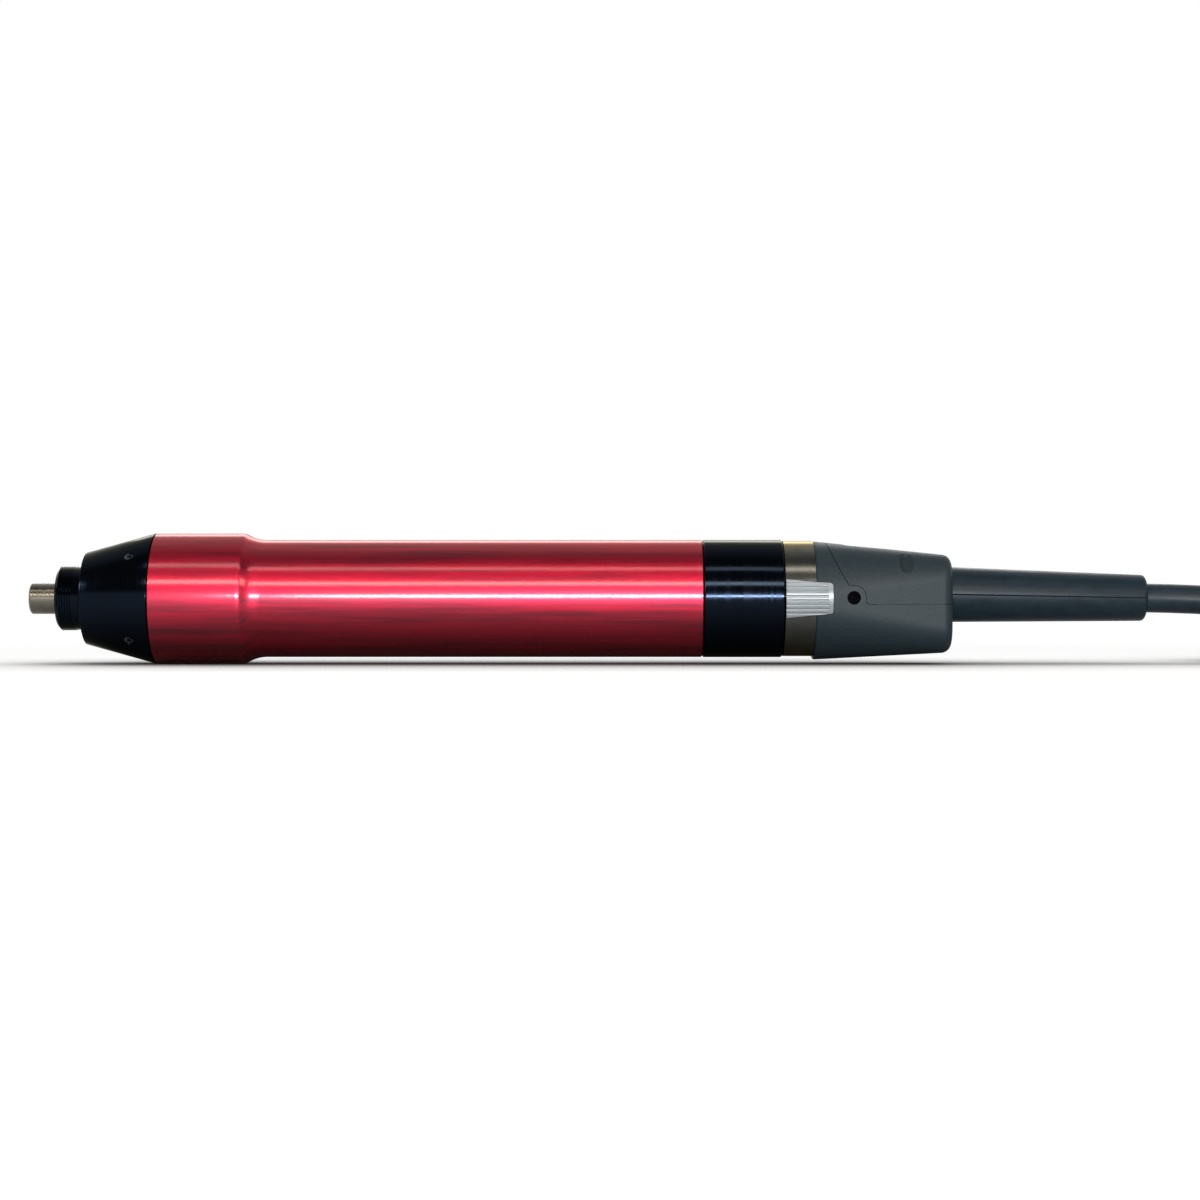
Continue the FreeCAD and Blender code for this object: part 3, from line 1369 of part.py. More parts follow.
def clamp_screws():
    x = X_CLAMP + CLAMP_LENGTH / 2
    head_foot = clamp_floor() + CLAMP_HEIGHT
    reach = CLAMP_HEIGHT + CLAMP_SCREW_REACH - 2 * FACE_GAP
    screws = []
    for side in (-1, 1):
        y = side * CLAMP_SCREW_SPACING / 2
        head = Part.makeCylinder(
            CLAMP_SCREW_HEAD_DIAMETER / 2, CLAMP_SCREW_HEAD_HEIGHT, V(x, y, head_foot), UP
        )
        shank = Part.makeCylinder(CLAMP_SCREW_DIAMETER / 2, reach, V(x, y, head_foot - reach), UP)
        screws.append(fused(head, shank))
    return screws


def hank_heights():
    """Heights above the floor of the upper and lower layers' middles."""
    low = TIE_THICKNESS + TIE_GAP + CORD_R
    return low + HANK_LAYER, low


def lead_route():
    """Points of the free stretch from the boot's end to the hank, lying as the tool lies."""
    x, y = X_CORD - X_MIDDLE, 0.0
    z0 = AXIS_HEIGHT + BOOT_REAR_RISE
    top = hank_heights()[0]
    points = [V(x, y, z0)]
    for (along, across), share in zip(LEAD_MOVES, LEAD_DROP_SHARES):
        x, y = x + along, y + across
        points.append(V(x, y, z0 + (top - z0) * share))
    points[1].z = z0 - LEAD_MOVES[0][0] * math.tan(math.radians(BOOT_TILT))
    return points


def rounded_path(points):
    """Straight runs joined by tangent arcs, each as large as its two runs allow."""
    edges = []
    radii = []
    start = points[0]
    for before, corner, after in zip(points, points[1:], points[2:]):
        back = before - corner
        ahead = after - corner
        reach = 0.45 * min(back.Length, ahead.Length)
        turn = math.pi - back.getAngle(ahead)
        radii.append(reach / math.tan(turn / 2))
        back.normalize()
        ahead.normalize()
        first = corner + back * reach
        last = corner + ahead * reach
        inward = back + ahead
        inward.normalize()
        sink = radii[-1] / math.cos(turn / 2) - radii[-1]
        edges.append(Part.LineSegment(start, first).toShape())
        edges.append(Part.Arc(first, corner + inward * sink, last).toShape())
        start = last
    edges.append(Part.LineSegment(start, points[-1]).toShape())
    return edges, radii


def piped(edges):
    """Round tube along joined edges, with its least difference from section times length."""
    path = Part.Wire(edges)
    start = edges[0].valueAt(edges[0].FirstParameter)
    direction = edges[0].tangentAt(edges[0].FirstParameter)
    section = Part.Wire(Part.makeCircle(CORD_R, start, direction))
    solid = path.makePipeShell([section], True, False)
    expected = math.pi * CORD_R**2 * path.Length
    print(f"tube length {path.Length:.1f}, volume share {solid.Volume / expected:.4f}")
    return solid


def cord_lead():
    edges, radii = rounded_path(lead_route())
    print("lead arc radii", [round(radius, 1) for radius in radii])
    return piped(edges)


def half_arc(start, tangent_point, end):
    """Arc between two points whose end tangents meet at the tangent point."""
    middle = (start + end) * 0.5
    reach = (tangent_point - start).Length
    slope = math.acos(min(1.0, (end - start).Length / 2 / reach))
    if slope < math.radians(FACE_GAP):
        return Part.LineSegment(start, end).toShape()
    lift = math.tan(slope / 2) / math.tan(slope)
    return Part.Arc(start, middle + (tangent_point - middle) * lift, end).toShape()


def biarc(start, start_way, end, end_way):
    """Two arcs that join two points smoothly, leaving and arriving along unit directions."""
    span = end - start
    both = start_way + end_way
    part = 1 - start_way.dot(end_way)
    lean = span.dot(both)
    if part < FACE_GAP**3:
        reach = span.dot(span) / (4 * span.dot(end_way))
    else:
        reach = (math.sqrt(lean**2 + 2 * part * span.dot(span)) - lean) / (2 * part)
    first = start + start_way * reach
    second = end - end_way * reach
    join = (first + second) * 0.5
    return [half_arc(start, first, join), half_arc(join, second, end)]


def hank_places():
    """Points and directions along the hank, run by run: both ends of each run and its waist."""
    enter = lead_route()[-1]
    high, low = hank_heights()
    last_run = 2 * HANK_RUNS_PER_LAYER
    widest = HANK_INNER_OFFSET + HANK_RUNS_PER_LAYER * HANK_STEP / 2
    middle = V(enter.x + HANK_HALF_RUN, enter.y + widest, 0)
    places = []
    for run in range(last_run + 1):
        offset = HANK_INNER_OFFSET + abs(run - HANK_RUNS_PER_LAYER) * HANK_STEP / 2
        way = 1 if run % 2 == 0 else -1
        if run < HANK_RUNS_PER_LAYER:
            heights = (high, high, high)
        elif run == HANK_RUNS_PER_LAYER:
            heights = (high, (high + low) / 2, low)
        else:
            heights = (low, low, low)
        for step, height in zip((-1, 0, 1), heights):
            drawn = offset - (HANK_WAIST if step == 0 else 0)
            point = middle + V(step * way * HANK_HALF_RUN, -way * drawn, height)
            places.append((point, V(way, 0, 0)))
    places[-1][0].y -= HANK_TAIL_STEP
    return places, middle


def hank_path():
    places, _ = hank_places()
    edges = []
    for (start, start_way), (end, end_way) in zip(places, places[1:]):
        edges += biarc(start, start_way, end, end_way)
    tail, way = places[-1]
    rise = V(tail.x + HANK_TAIL - CORD_DIAMETER, tail.y, NUT_DIAMETER / 2)
    edges += biarc(tail, way, rise, way)
    edges.append(Part.LineSegment(rise, rise + way * CORD_DIAMETER).toShape())
    return edges


def least_self_gap(edges):
    """Least room between stretches of the tube that lie over four diameters apart along it."""
    path = Part.Wire(edges)
    count = round(2 * path.Length / CORD_R)
    points = path.discretize(Number=count)
    apart = round(4 * CORD_DIAMETER * count / path.Length)
    least = path.Length
    for index, point in enumerate(points):
        for other in points[index + apart :]:
            least = min(least, point.distanceToPoint(other))
    return least - CORD_DIAMETER


def cord_hank():
    edges = hank_path()
    print(f"hank's least gap to itself {least_self_gap(edges):.2f}")
    return piped(edges)


def hank_tie():
    """Flat band round the waist of the hank, resting on the floor."""
    _, middle = hank_places()
    high, _ = hank_heights()
    front = HANK_INNER_OFFSET + HANK_RUNS_PER_LAYER * HANK_STEP / 2 - HANK_WAIST + CORD_R + TIE_GAP
    back = front - HANK_STEP / 2
    top = high + CORD_R + TIE_GAP

    def band(room):
        body = block(
            -TIE_WIDTH / 2,
            TIE_WIDTH / 2,
            -front - room,
            back + room,
            TIE_THICKNESS - room,
            top + room,
        )
        long_edges = [e for e in body.Edges if abs(e.BoundBox.XLength - TIE_WIDTH) < SEAT_FIT]
        return body.makeFillet(TIE_CORNER - TIE_THICKNESS + room, long_edges)

    return moved(band(TIE_THICKNESS).cut(band(0)), middle.x, middle.y, 0)


# Plug, drawn along X from its cable end


def plug_placed(shape):
    end = hank_path()[-1]
    place = end.valueAt(end.LastParameter)
    return moved(shape, place.x, place.y, place.z)


def plug_gland():
    outer = PLUG_GLAND_DIAMETER / 2
    return plug_placed(
        turned(
            (
                (0, 0),
                (0, CORD_R + FACE_GAP),
                (PLUG_GLAND_LENGTH / 2, outer),
                (PLUG_GLAND_LENGTH, outer),
                (PLUG_GLAND_LENGTH, 0),
            )
        )
    )


def plug_shell():
    shell = PLUG_SHELL_DIAMETER / 2
    barrel = PLUG_BARREL_DIAMETER / 2
    x_barrel = PLUG_GLAND_LENGTH + PLUG_SHELL_LENGTH
    x_end = x_barrel + PLUG_BARREL_LENGTH
    body = turned(
        (
            (PLUG_GLAND_LENGTH, 0),
            (PLUG_GLAND_LENGTH, shell - PLUG_CHAMFER),
            (PLUG_GLAND_LENGTH + PLUG_CHAMFER, shell),
            (x_barrel, shell),
            (x_barrel, barrel),
            (x_end, barrel),
            (x_end, barrel - PLUG_BARREL_WALL),
            (x_barrel, barrel - PLUG_BARREL_WALL),
            (x_barrel, 0),
        )
    )
    return plug_placed(body)


def plug_insert():
    """Insulator at the bottom of the barrel, with the contact pins in one piece with it."""
    x0 = PLUG_GLAND_LENGTH + PLUG_SHELL_LENGTH
    x1 = x0 + INSERT_LENGTH
    disc = rod(x0, x1, PLUG_BARREL_DIAMETER / 2 - PLUG_BARREL_WALL - SEAT_FIT)
    pin = moved(rod(x1, x1 + CONTACT_REACH, CONTACT_DIAMETER / 2), 0, CONTACT_CIRCLE / 2, 0)
    pins = [spun(pin, 360 * place / CONTACT_COUNT) for place in range(CONTACT_COUNT)]
    return plug_placed(fused(disc, *pins))


def coupling_nut():
    x0 = PLUG_GLAND_LENGTH + PLUG_SHELL_LENGTH + MOVING_GAP
    x1 = x0 + NUT_LENGTH
    nut = tube(x0, x1, NUT_DIAMETER / 2, NUT_BORE / 2)
    nut = nut.cut(rod(x1 - NUT_MOUTH_DEPTH, x1, NUT_MOUTH_DIAMETER / 2))
    flute_r = NUT_FLUTE_DIAMETER / 2
    flute = moved(rod(x0, x1, flute_r), 0, NUT_DIAMETER / 2 + flute_r - NUT_FLUTE_DEPTH, 0)
    for place in range(NUT_FLUTES):
        nut = nut.cut(spun(flute, 360 * (place + 0.5) / NUT_FLUTES))
    return plug_placed(nut)


def tool_pieces():
    """Every piece of the tool itself, by node name, drawn along the tool's own axis."""
    pieces = {
        "spindle": spindle(),
        "bit_magnet": bit_magnet(),
        "start_spring": start_spring(),
        "nose_bush": nose_bush(),
        "nose_cone": nose_cone(),
        "set_screws": set_screws(),
        "gear_case": gear_case(),
        "ring_gear": ring_gear(),
        "output_bearing_outer": output_bearing(bearing_outer),
        "output_bearing_inner": output_bearing(bearing_inner),
        "output_carrier": output_carrier(),
        "output_pins": planet_pins(X_OUTPUT_PLATE, X_OUTPUT_GEARS + OUTPUT_GEAR_WIDTH),
        "first_carrier": first_carrier(),
        "first_pins": planet_pins(X_FIRST_PLATE, X_FIRST_GEARS + FIRST_GEAR_WIDTH),
        "torque_sensor": torque_sensor(),
        "motor_front_flange": motor_flange(0),
        "motor_rear_flange": motor_flange(1),
        "motor_front_bearing_outer": motor_bearing(bearing_outer, 0),
        "motor_front_bearing_inner": motor_bearing(bearing_inner, 0),
        "motor_rear_bearing_outer": motor_bearing(bearing_outer, 1),
        "motor_rear_bearing_inner": motor_bearing(bearing_inner, 1),
        "stator_core": stator_core(),
        "stator_windings": stator_windings(),
        "rotor_shaft": rotor_shaft(),
        "rotor_magnets": rotor_magnets(),
        "sensor_magnet": sensor_magnet(),
        "sensor_board": sensor_board(),
        "body_tube": body_tube(),
        "rear_collar": rear_collar(),
        "collar_seal": collar_seal(),
        "drive_board": drive_board(),
        "drive_components": drive_components(),
        "light_ring": light_ring(),
        "light_lens_near": light_lens(),
        "light_lens_far": mirrored(light_lens()),
        "light_boards": [light_board(), mirrored(light_board())],
        "rear_frame": rear_frame(),
        "lower_shell": lower_shell(),
        "upper_cover": upper_cover(),
        "shell_screws": shell_screws(),
        "reverse_button": reverse_button(),
        "switch_board": switch_board(),
        "cable_clamp": cable_clamp(),
        "clamp_screws": clamp_screws(),
        "strain_relief": strain_relief(),
        "cord_inner": cord_inner(),
    }
    for place in range(PLANET_COUNT):
        pieces[f"output_planet_{place + 1}"] = planet(X_OUTPUT_GEARS, OUTPUT_GEAR_WIDTH, place)
        pieces[f"first_planet_{place + 1}"] = planet(X_FIRST_GEARS, FIRST_GEAR_WIDTH, place)
    return pieces


def cord_pieces():
    """The free cord and what is on it, drawn where they lie."""
    return {
        "cord_lead": cord_lead(),
        "cord_hank": cord_hank(),
        "hank_tie": hank_tie(),
        "plug_gland": plug_gland(),
        "plug_shell": plug_shell(),
        "plug_insert": plug_insert(),
        "coupling_nut": coupling_nut(),
    }


def write(name, shape):
    if isinstance(shape, list):
        shape = Part.makeCompound(shape)
    shape.exportStep(f"parts/{name}.step")


os.makedirs("parts", exist_ok=True)
for node, piece in tool_pieces().items():
    solids = piece if isinstance(piece, list) else [piece]
    write(node, [moved(solid, -X_MIDDLE, 0, AXIS_HEIGHT) for solid in solids])
for node, piece in cord_pieces().items():
    write(node, piece)
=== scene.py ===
import contextlib
import math

import bpy
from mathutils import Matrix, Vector


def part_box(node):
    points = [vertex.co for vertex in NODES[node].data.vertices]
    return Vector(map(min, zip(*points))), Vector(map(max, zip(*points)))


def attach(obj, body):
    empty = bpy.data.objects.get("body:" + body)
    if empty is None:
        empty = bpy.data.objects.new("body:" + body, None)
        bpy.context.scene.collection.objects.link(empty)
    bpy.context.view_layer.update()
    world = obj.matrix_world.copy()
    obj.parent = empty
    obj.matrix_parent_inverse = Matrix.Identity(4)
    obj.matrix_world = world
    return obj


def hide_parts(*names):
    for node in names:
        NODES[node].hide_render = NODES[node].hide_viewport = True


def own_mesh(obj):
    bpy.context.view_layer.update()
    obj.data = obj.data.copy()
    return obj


bl_info = {
    "name": "Inline Screwdriver",
    "version": (1, 0, 0),
    "blender": (4, 5, 0),
    "location": "View3D > Sidebar > Screwdriver",
    "description": "Dresses the packed inline screwdriver: turned metal, mouldings, cord and studio",
    "category": "Object",
}

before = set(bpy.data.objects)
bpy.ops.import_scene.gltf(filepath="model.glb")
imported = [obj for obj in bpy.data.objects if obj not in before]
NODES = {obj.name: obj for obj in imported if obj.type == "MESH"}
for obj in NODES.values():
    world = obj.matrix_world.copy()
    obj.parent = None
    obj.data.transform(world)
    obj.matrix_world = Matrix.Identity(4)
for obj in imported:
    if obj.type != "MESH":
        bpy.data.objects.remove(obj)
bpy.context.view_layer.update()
AXIS_Z = sum(corner.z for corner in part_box("body_tube")) / 2

# Clearances between seated pieces, in metres
SEAT_FIT = 0.00003
FACE_GAP = 0.0001

# Mesh settings
SMOOTH_ANGLE = math.radians(32)
THREAD_SMOOTH_ANGLE = math.radians(25)
ROUNDED_ANGLE = math.radians(20)
BAND_EDGE_ANGLE = math.radians(50)
MERGE_DISTANCE = 1e-6
CUT_MERGE_DISTANCE = 2e-6
SAME_RADIUS = 1e-7

# Nose: the set screws' places round it, the thread's ridge as a share of its pitch, and the
# points on each of its turns
SET_SCREW_DEGREES = (45, 135, 225, 315)
THREAD_RIDGE = 0.45
THREAD_STEPS = 120

# Grip tube: the shoulder's convex arc as a share of both arcs, and points on each arc
CONVEX_SHARE = 0.25
CONVEX_STEPS = 6
CONCAVE_STEPS = 12

# Strain relief: points on its rounded end
BOOT_ROUND_STEPS = 4

# Cord: its free stretch from the boot to the hank, the hank's runs and folds, and how the
# tail rises to the plug, as shares of its length and of the rise
LEAD_ROUTE = (
    (0.1738, 0.0, 0.02056),
    (0.1988, 0.0, 0.02011),
    (0.2293, -0.0158, 0.0162),
    (0.2538, -0.0158, 0.0162),
)
HANK_RUNS = 9
RUN_STEPS = 6
FOLD_STEPS = 6
TAIL_RISE = ((0.2, 0.0), (0.4, 0.35), (0.6, 0.85), (0.78, 1.0), (1.0, 1.0))

# Lamps: degrees above the camera's direction, distance, size, watts, x and colour
WHITE = (1, 1, 1)
COOL = (0.96, 0.98, 1.0)
WARM = (1.0, 0.88, 0.78)
LAMPS = {
    "near_strip": (4.6, 1.25, (0.72, 0.06), 17.5, 0.14, COOL),
    "middle_strip": (29, 1.1, (0.9, 0.12), 5.5, 0.0, WARM),
    "high_strip": (60, 1.1, (0.9, 0.14), 2.2, 0.0, WARM),
    "back_box": (150, 1.2, (0.9, 0.3), 3, 0.0, WHITE),
    "side_box": (50, 0.6, (0.25, 0.25), 9, -1.3, WHITE),
    "rear_box": (38, 0.9, (0.5, 0.2), 3, 0.85, WARM),
}
CAMERA_LENS_MM = 76.8
CAMERA_SENSOR_MM = 36

# Ground metals: colour, roughness, and how fine the grain is along each axis
METALS = {
    "ground_steel": ("steel", 0.26, (1200, 40, 40)),
    "brushed_ring": ("ring", 0.22, (1800, 60, 60)),
    "gear_steel": ("gears", 0.3, (700, 700, 700)),
    "dark_screw": ("dark_screw", 0.75, (900, 900, 900)),
    "socket_screw": ("socket_screw", 0.3, (900, 900, 900)),
    "turned_alloy": ("alloy", 0.32, (3000, 60, 60)),
    "nickel_plate": ("nickel", 0.2, (400, 400, 400)),
    "core_laminate": ("laminate", 0.5, (6000, 30, 30)),
    "bush_bronze": ("bronze", 0.34, (2600, 60, 60)),
}

# Mouldings: colour, roughness, and how fine the grain is
MOULDINGS = {
    "housing_plastic": ("plastic", 0.48, 4200),
    "black_moulding": ("moulding", 0.5, 2600),
    "seal_rubber": ("seal", 0.6, 2000),
}

# Finishes of the CAD nodes that keep their modelled shape
PLANETS = [f"{stage}_planet_{place}" for stage in ("output", "first") for place in (1, 2, 3)]
BEARINGS = [
    f"{place}_bearing_{race}"
    for place in ("output", "motor_front", "motor_rear")
    for race in ("outer", "inner")
]
GEAR_TRAIN = ("ring_gear", "output_carrier", "output_pins", "first_carrier", "first_pins", *PLANETS)
PAINTED = {
    "ground_steel": ("spindle", "start_spring"),
    "brushed_ring": ("light_ring",),
    "gear_steel": ("torque_sensor", "rotor_shaft", "clamp_screws", *GEAR_TRAIN, *BEARINGS),
    "dark_screw": ("shell_screws",),
    "socket_screw": ("set_screws",),
    "turned_alloy": ("gear_case", "motor_front_flange", "motor_rear_flange"),
    "nickel_plate": (
        "bit_magnet",
        "rotor_magnets",
        "sensor_magnet",
        "plug_shell",
        "coupling_nut",
    ),
    "core_laminate": ("stator_core",),
    "bush_bronze": ("nose_bush",),
    "housing_plastic": ("lower_shell", "upper_cover", "reverse_button"),
    "black_moulding": (
        "rear_frame",
        "cable_clamp",
        "drive_components",
        "plug_insert",
        "plug_gland",
    ),
    "seal_rubber": ("collar_seal",),
    "circuit_board": ("sensor_board", "drive_board", "light_boards", "switch_board"),
    "enamelled_copper": ("stator_windings",),
    "clear_lens": ("light_lens_near", "light_lens_far"),
    "cord_sheath": ("cord_inner",),
}


def metres(name, text, default):
    """Property for a length in metres."""
    return bpy.props.FloatProperty(
        name=name,
        description=text,
        default=default,
        min=0.0,
        precision=5,
        subtype="DISTANCE",
        unit="LENGTH",
    )


def tint(name, text, default):
    """Property for a linear colour."""
    return bpy.props.FloatVectorProperty(
        name=name, description=text, default=default, size=3, min=0.0, max=1.0, subtype="COLOR"
    )


class NoseSizes(bpy.types.PropertyGroup):
    """Sizes of the threaded nose cone."""

    thread_radius: metres("Thread radius", "Crest radius of the nose thread", 0.010)
    thread_depth: metres("Thread depth", "Depth of the thread's groove", 0.0002)
    thread_pitch: metres("Thread pitch", "Distance from crest to crest", 0.0008)
    thread_lead: metres("Thread lead", "From the front face to the first crest", 0.0008)
    thread_length: metres("Thread length", "From the front face to the cone", 0.0077)
    relief_width: metres("Relief width", "Plain length between thread and cone", 0.0014)
    front_chamfer: metres("Front chamfer", "Chamfer at the front face", 0.0009)
    face_step: metres("Face step", "Rise from the thread to the cone's slanted face", 0.0008)
    face_slant: metres("Face slant", "How far the cone's front face leans back", 0.0010)
    cone_radius: metres("Cone radius", "Radius of the cone at its front", 0.0141)
    opening: metres("Opening", "Radius of the opening round the spindle", 0.00525)
    spring_bore: metres("Spring bore", "Radius of the room behind the bush", 0.0071)
    case_bore: metres("Case bore", "Radius of the bore over the gear case", 0.01306)
    screw_bore: metres("Screw bore", "Radius of a set screw hole", 0.00154)
    screw_depth: metres("Screw depth", "Length of the cutter for a set screw hole", 0.009)
    screw_reach: metres("Screw reach", "From the axis to that cutter's middle", 0.0165)
    edge_round: metres("Edge round", "Softening of the turned edges", 0.0002)


class GripSizes(bpy.types.PropertyGroup):
    """Sizes of the grip tube and the collar behind it."""

    wall: metres("Wall", "Wall of the grip tube", 0.0018)
    shoulder_start: metres("Shoulder start", "From the tube's front to its shoulder", 0.0270)
    shoulder_length: metres("Shoulder length", "Length of the S-shaped shoulder", 0.0075)
    grip_radius: metres("Grip radius", "Radius behind the shoulder", 0.01828)
    bore_taper: metres("Bore taper", "Length over which the bore narrows", 0.0030)
    end_chamfer: metres("End chamfer", "Chamfer where tube and collar end and meet", 0.0004)
    spigot_wall: metres("Spigot wall", "Wall of the collar inside the tube", 0.0021)
    collar_chamfer: metres("Collar chamfer", "Chamfer at the collar's rear edge", 0.0006)
    edge_round: metres("Edge round", "Softening of the turned edges", 0.00025)


class BootSizes(bpy.types.PropertyGroup):
    """Sizes of the rubber strain relief."""

    front_radius: metres("Front radius", "Radius where it leaves the housing", 0.0086)
    rear_radius: metres("Rear radius", "Radius at the cord's end", 0.0072)
    end_round: metres("End round", "Rounding of the cord end", 0.0014)
    flange_radius: metres("Flange radius", "Flange inside the housing", 0.0098)
    flange_width: metres("Flange width", "Width of that flange", 0.0030)
    neck: metres("Neck", "From that flange to the housing's rear face", 0.0033)
    bore: metres("Bore", "Radius of the hole for the cord", 0.0045)
    length: metres("Length", "Length outside the housing", 0.0615)
    front_rise: metres("Front rise", "Its middle above the tool's axis, at the housing", 0.00125)
    rear_rise: metres("Rear rise", "Its middle above the tool's axis, at the cord", 0.00016)
    seam_depth: metres("Seam depth", "Depth of the mould seam along both sides", 0.00025)


class CordSizes(bpy.types.PropertyGroup):
    """Sizes of the cord and the hank that it is tied up in."""

    diameter: metres("Diameter", "Thickness of the cord", 0.009)
    half_run: metres("Half run", "Half the straight length of the hank", 0.045)
    inner_offset: metres("Inner offset", "Innermost run from the hank's middle line", 0.0246)
    step: metres("Step", "From one turn to the next", 0.0104)
    waist: metres("Waist", "How far the tie draws the runs in", 0.008)
    low: metres("Lower layer", "Height of the lower layer's middle", 0.0065)
    high: metres("Upper layer", "Height of the upper layer's middle", 0.0162)
    tail: metres("Tail", "From the last fold to the plug", 0.034)
    tail_step: metres("Tail step", "How far the tail stands out from the last run", 0.004)
    plug_height: metres("Plug height", "Height of the plug's middle", 0.0095)
    tie_thickness: metres("Tie thickness", "Thickness of the band", 0.0012)
    tie_corner: metres("Tie corner", "Rounding of the band's bends", 0.005)
    tie_edge: metres("Tie edge", "Rounding of the band's edges", 0.0003)


class StageSizes(bpy.types.PropertyGroup):
    """Sizes of the studio."""

    floor: metres("Floor", "Side of the floor", 6.0)
    # Reach of the floor's painted shade round the tool
    painted_shade_reach: metres("Shade reach", "How far from the tool the floor is shaded", 0.08)
    camera_distance: metres("Camera distance", "From the camera to the tool's axis", 0.80)
    camera_right: metres("Camera right", "Camera to the right of the tool's middle", 0.0038)
    camera_drop: metres("Camera drop", "Camera below the tool's axis", 0.00047)
    camera_clip: metres("Camera clip", "Nearest thing that the camera shows", 0.01)


class FinishColours(bpy.types.PropertyGroup):
    """Colours of the finishes."""

    red: tint("Red anodising", "Grip tube", (0.36, 0.009, 0.030))
    # Colour of the darker streaks, which are partly a painted reflection of a dark streaked surface
    red_deep: tint("Deep red", "Darker streaks of the grip tube", (0.16, 0.012, 0.026))
    black: tint("Black anodising", "Nose cone and collar", (0.0066, 0.0096, 0.0158))
    plastic: tint("Housing", "Moulded housing", (0.0108, 0.0184, 0.0228))
    rubber: tint("Rubber", "Strain relief", (0.005, 0.011, 0.016))
    sheath: tint("Sheath", "Cord", (0.007, 0.013, 0.018))
    band: tint("Band", "Woven tie of the hank", (0.022, 0.022, 0.026))
    steel: tint("Steel", "Spindle and start spring", (0.15, 0.143, 0.115))
    ring: tint("Light ring", "Ring beside the lenses", (0.105, 0.110, 0.100))
    lens: tint("Lens", "Ribbed windows", (0.36, 0.41, 0.44))
    dark_screw: tint("Housing screws", "Screws in the housing's sides", (0.003, 0.003, 0.004))
    socket_screw: tint("Set screws", "Set screws of the nose cone", (0.16, 0.17, 0.18))
    gears: tint("Gears", "Gear train, bearings and shafts", (0.52, 0.52, 0.53))
    alloy: tint("Alloy", "Gear case and motor flanges", (0.70, 0.70, 0.72))
    nickel: tint("Nickel", "Magnets and the plug's metal", (0.62, 0.61, 0.58))
    laminate: tint("Laminate", "Stator core", (0.20, 0.20, 0.21))
    bronze: tint("Bronze", "Nose bush", (0.56, 0.36, 0.15))
    copper: tint("Copper", "Windings", (0.62, 0.24, 0.10))
    board: tint("Board", "Circuit boards", (0.012, 0.11, 0.04))
    moulding: tint("Black moulding", "Inner mouldings and plug", (0.018, 0.018, 0.020))
    seal: tint("Seal", "Seal of the collar", (0.012, 0.012, 0.012))


# Modelling


def span(node):
    """Lowest x, highest x and half height of a node, in metres."""
    low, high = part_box(node)
    return low.x, high.x, (high.z - low.z) / 2


def choose(*objects):
    """Select only these objects and make the last one active."""
    if bpy.context.object and bpy.context.object.mode != "OBJECT":
        bpy.ops.object.mode_set(mode="OBJECT")
    bpy.ops.object.select_all(action="DESELECT")
    for obj in objects:
        obj.select_set(True)
        bpy.context.view_layer.objects.active = obj


@contextlib.contextmanager
def editing():
    """Edit the active mesh, with all its points selected."""
    bpy.ops.object.mode_set(mode="EDIT")
    bpy.ops.mesh.select_mode(type="VERT")
    bpy.ops.mesh.select_all(action="SELECT")
    yield
    bpy.ops.object.mode_set(mode="OBJECT")


def settle(obj, name, angle=SMOOTH_ANGLE):
    """Put a finished piece's place into its mesh and smooth its round faces."""
    choose(obj)
    bpy.ops.object.transform_apply(location=True, rotation=True, scale=True)
    bpy.ops.object.shade_smooth_by_angle(angle=angle)
    obj.name = name
    obj.data.name = name
    return obj


def apply_modifier(obj, kind, **settings):
    """Add a modifier with these settings and apply it."""
    choose(obj)
    modifier = obj.modifiers.new(kind.title(), kind)
    for key, value in settings.items():
        setattr(modifier, key, value)
    bpy.ops.object.modifier_apply(modifier=modifier.name)


def round_edges(obj, width, angle):
    """Round the edges that are sharper than an angle."""
    apply_modifier(
        obj, "BEVEL", width=width, segments=2, limit_method="ANGLE", angle_limit=angle
    )


def turn(stations, sides=160, rounding=0.0):
    """Turn (x, radius) stations about the tool's axis: a circle drawn out, resized and closed."""
    choose()
    x, radius = stations[0]
    bpy.ops.mesh.primitive_circle_add(
        vertices=sides, radius=radius, location=(x, 0, AXIS_Z), rotation=(0, math.pi / 2, 0)
    )
    piece = bpy.context.object
    with editing():
        for next_x, next_radius in stations[1:] + stations[:1]:
            bpy.ops.mesh.extrude_region_move(
                TRANSFORM_OT_translate={"value": (next_x - x, 0, 0)}
            )
            if abs(next_radius - radius) > SAME_RADIUS:
                scale = next_radius / radius
                bpy.ops.transform.resize(
                    value=(1, scale, scale), center_override=(next_x, 0, AXIS_Z)
                )
            x, radius = next_x, next_radius
        bpy.ops.mesh.select_all(action="SELECT")
        bpy.ops.mesh.remove_doubles(threshold=MERGE_DISTANCE)
        bpy.ops.mesh.normals_make_consistent(inside=False)
    if rounding:
        round_edges(piece, rounding, ROUNDED_ANGLE)
    return piece


def cut(piece, cutter):
    """Cut one piece with another, which is used up, and merge the points that fall together."""
    apply_modifier(piece, "BOOLEAN", operation="DIFFERENCE", object=cutter, solver="EXACT")
    bpy.data.objects.remove(cutter)
    with editing():
        bpy.ops.mesh.remove_doubles(threshold=CUT_MERGE_DISTANCE)


# Finishes


def feed(tree, socket, value):
    """Set a socket to a number, or link it to another socket."""
    if isinstance(value, (int, float)):
        socket.default_value = value
    else:
        tree.links.new(value, socket)


def combine(tree, operation, first, second):
    """Join two numbers or sockets by a calculation."""
    node = tree.nodes.new("ShaderNodeMath")
    node.operation = operation
    feed(tree, node.inputs[0], first)
    feed(tree, node.inputs[1], second)
    return node.outputs["Value"]


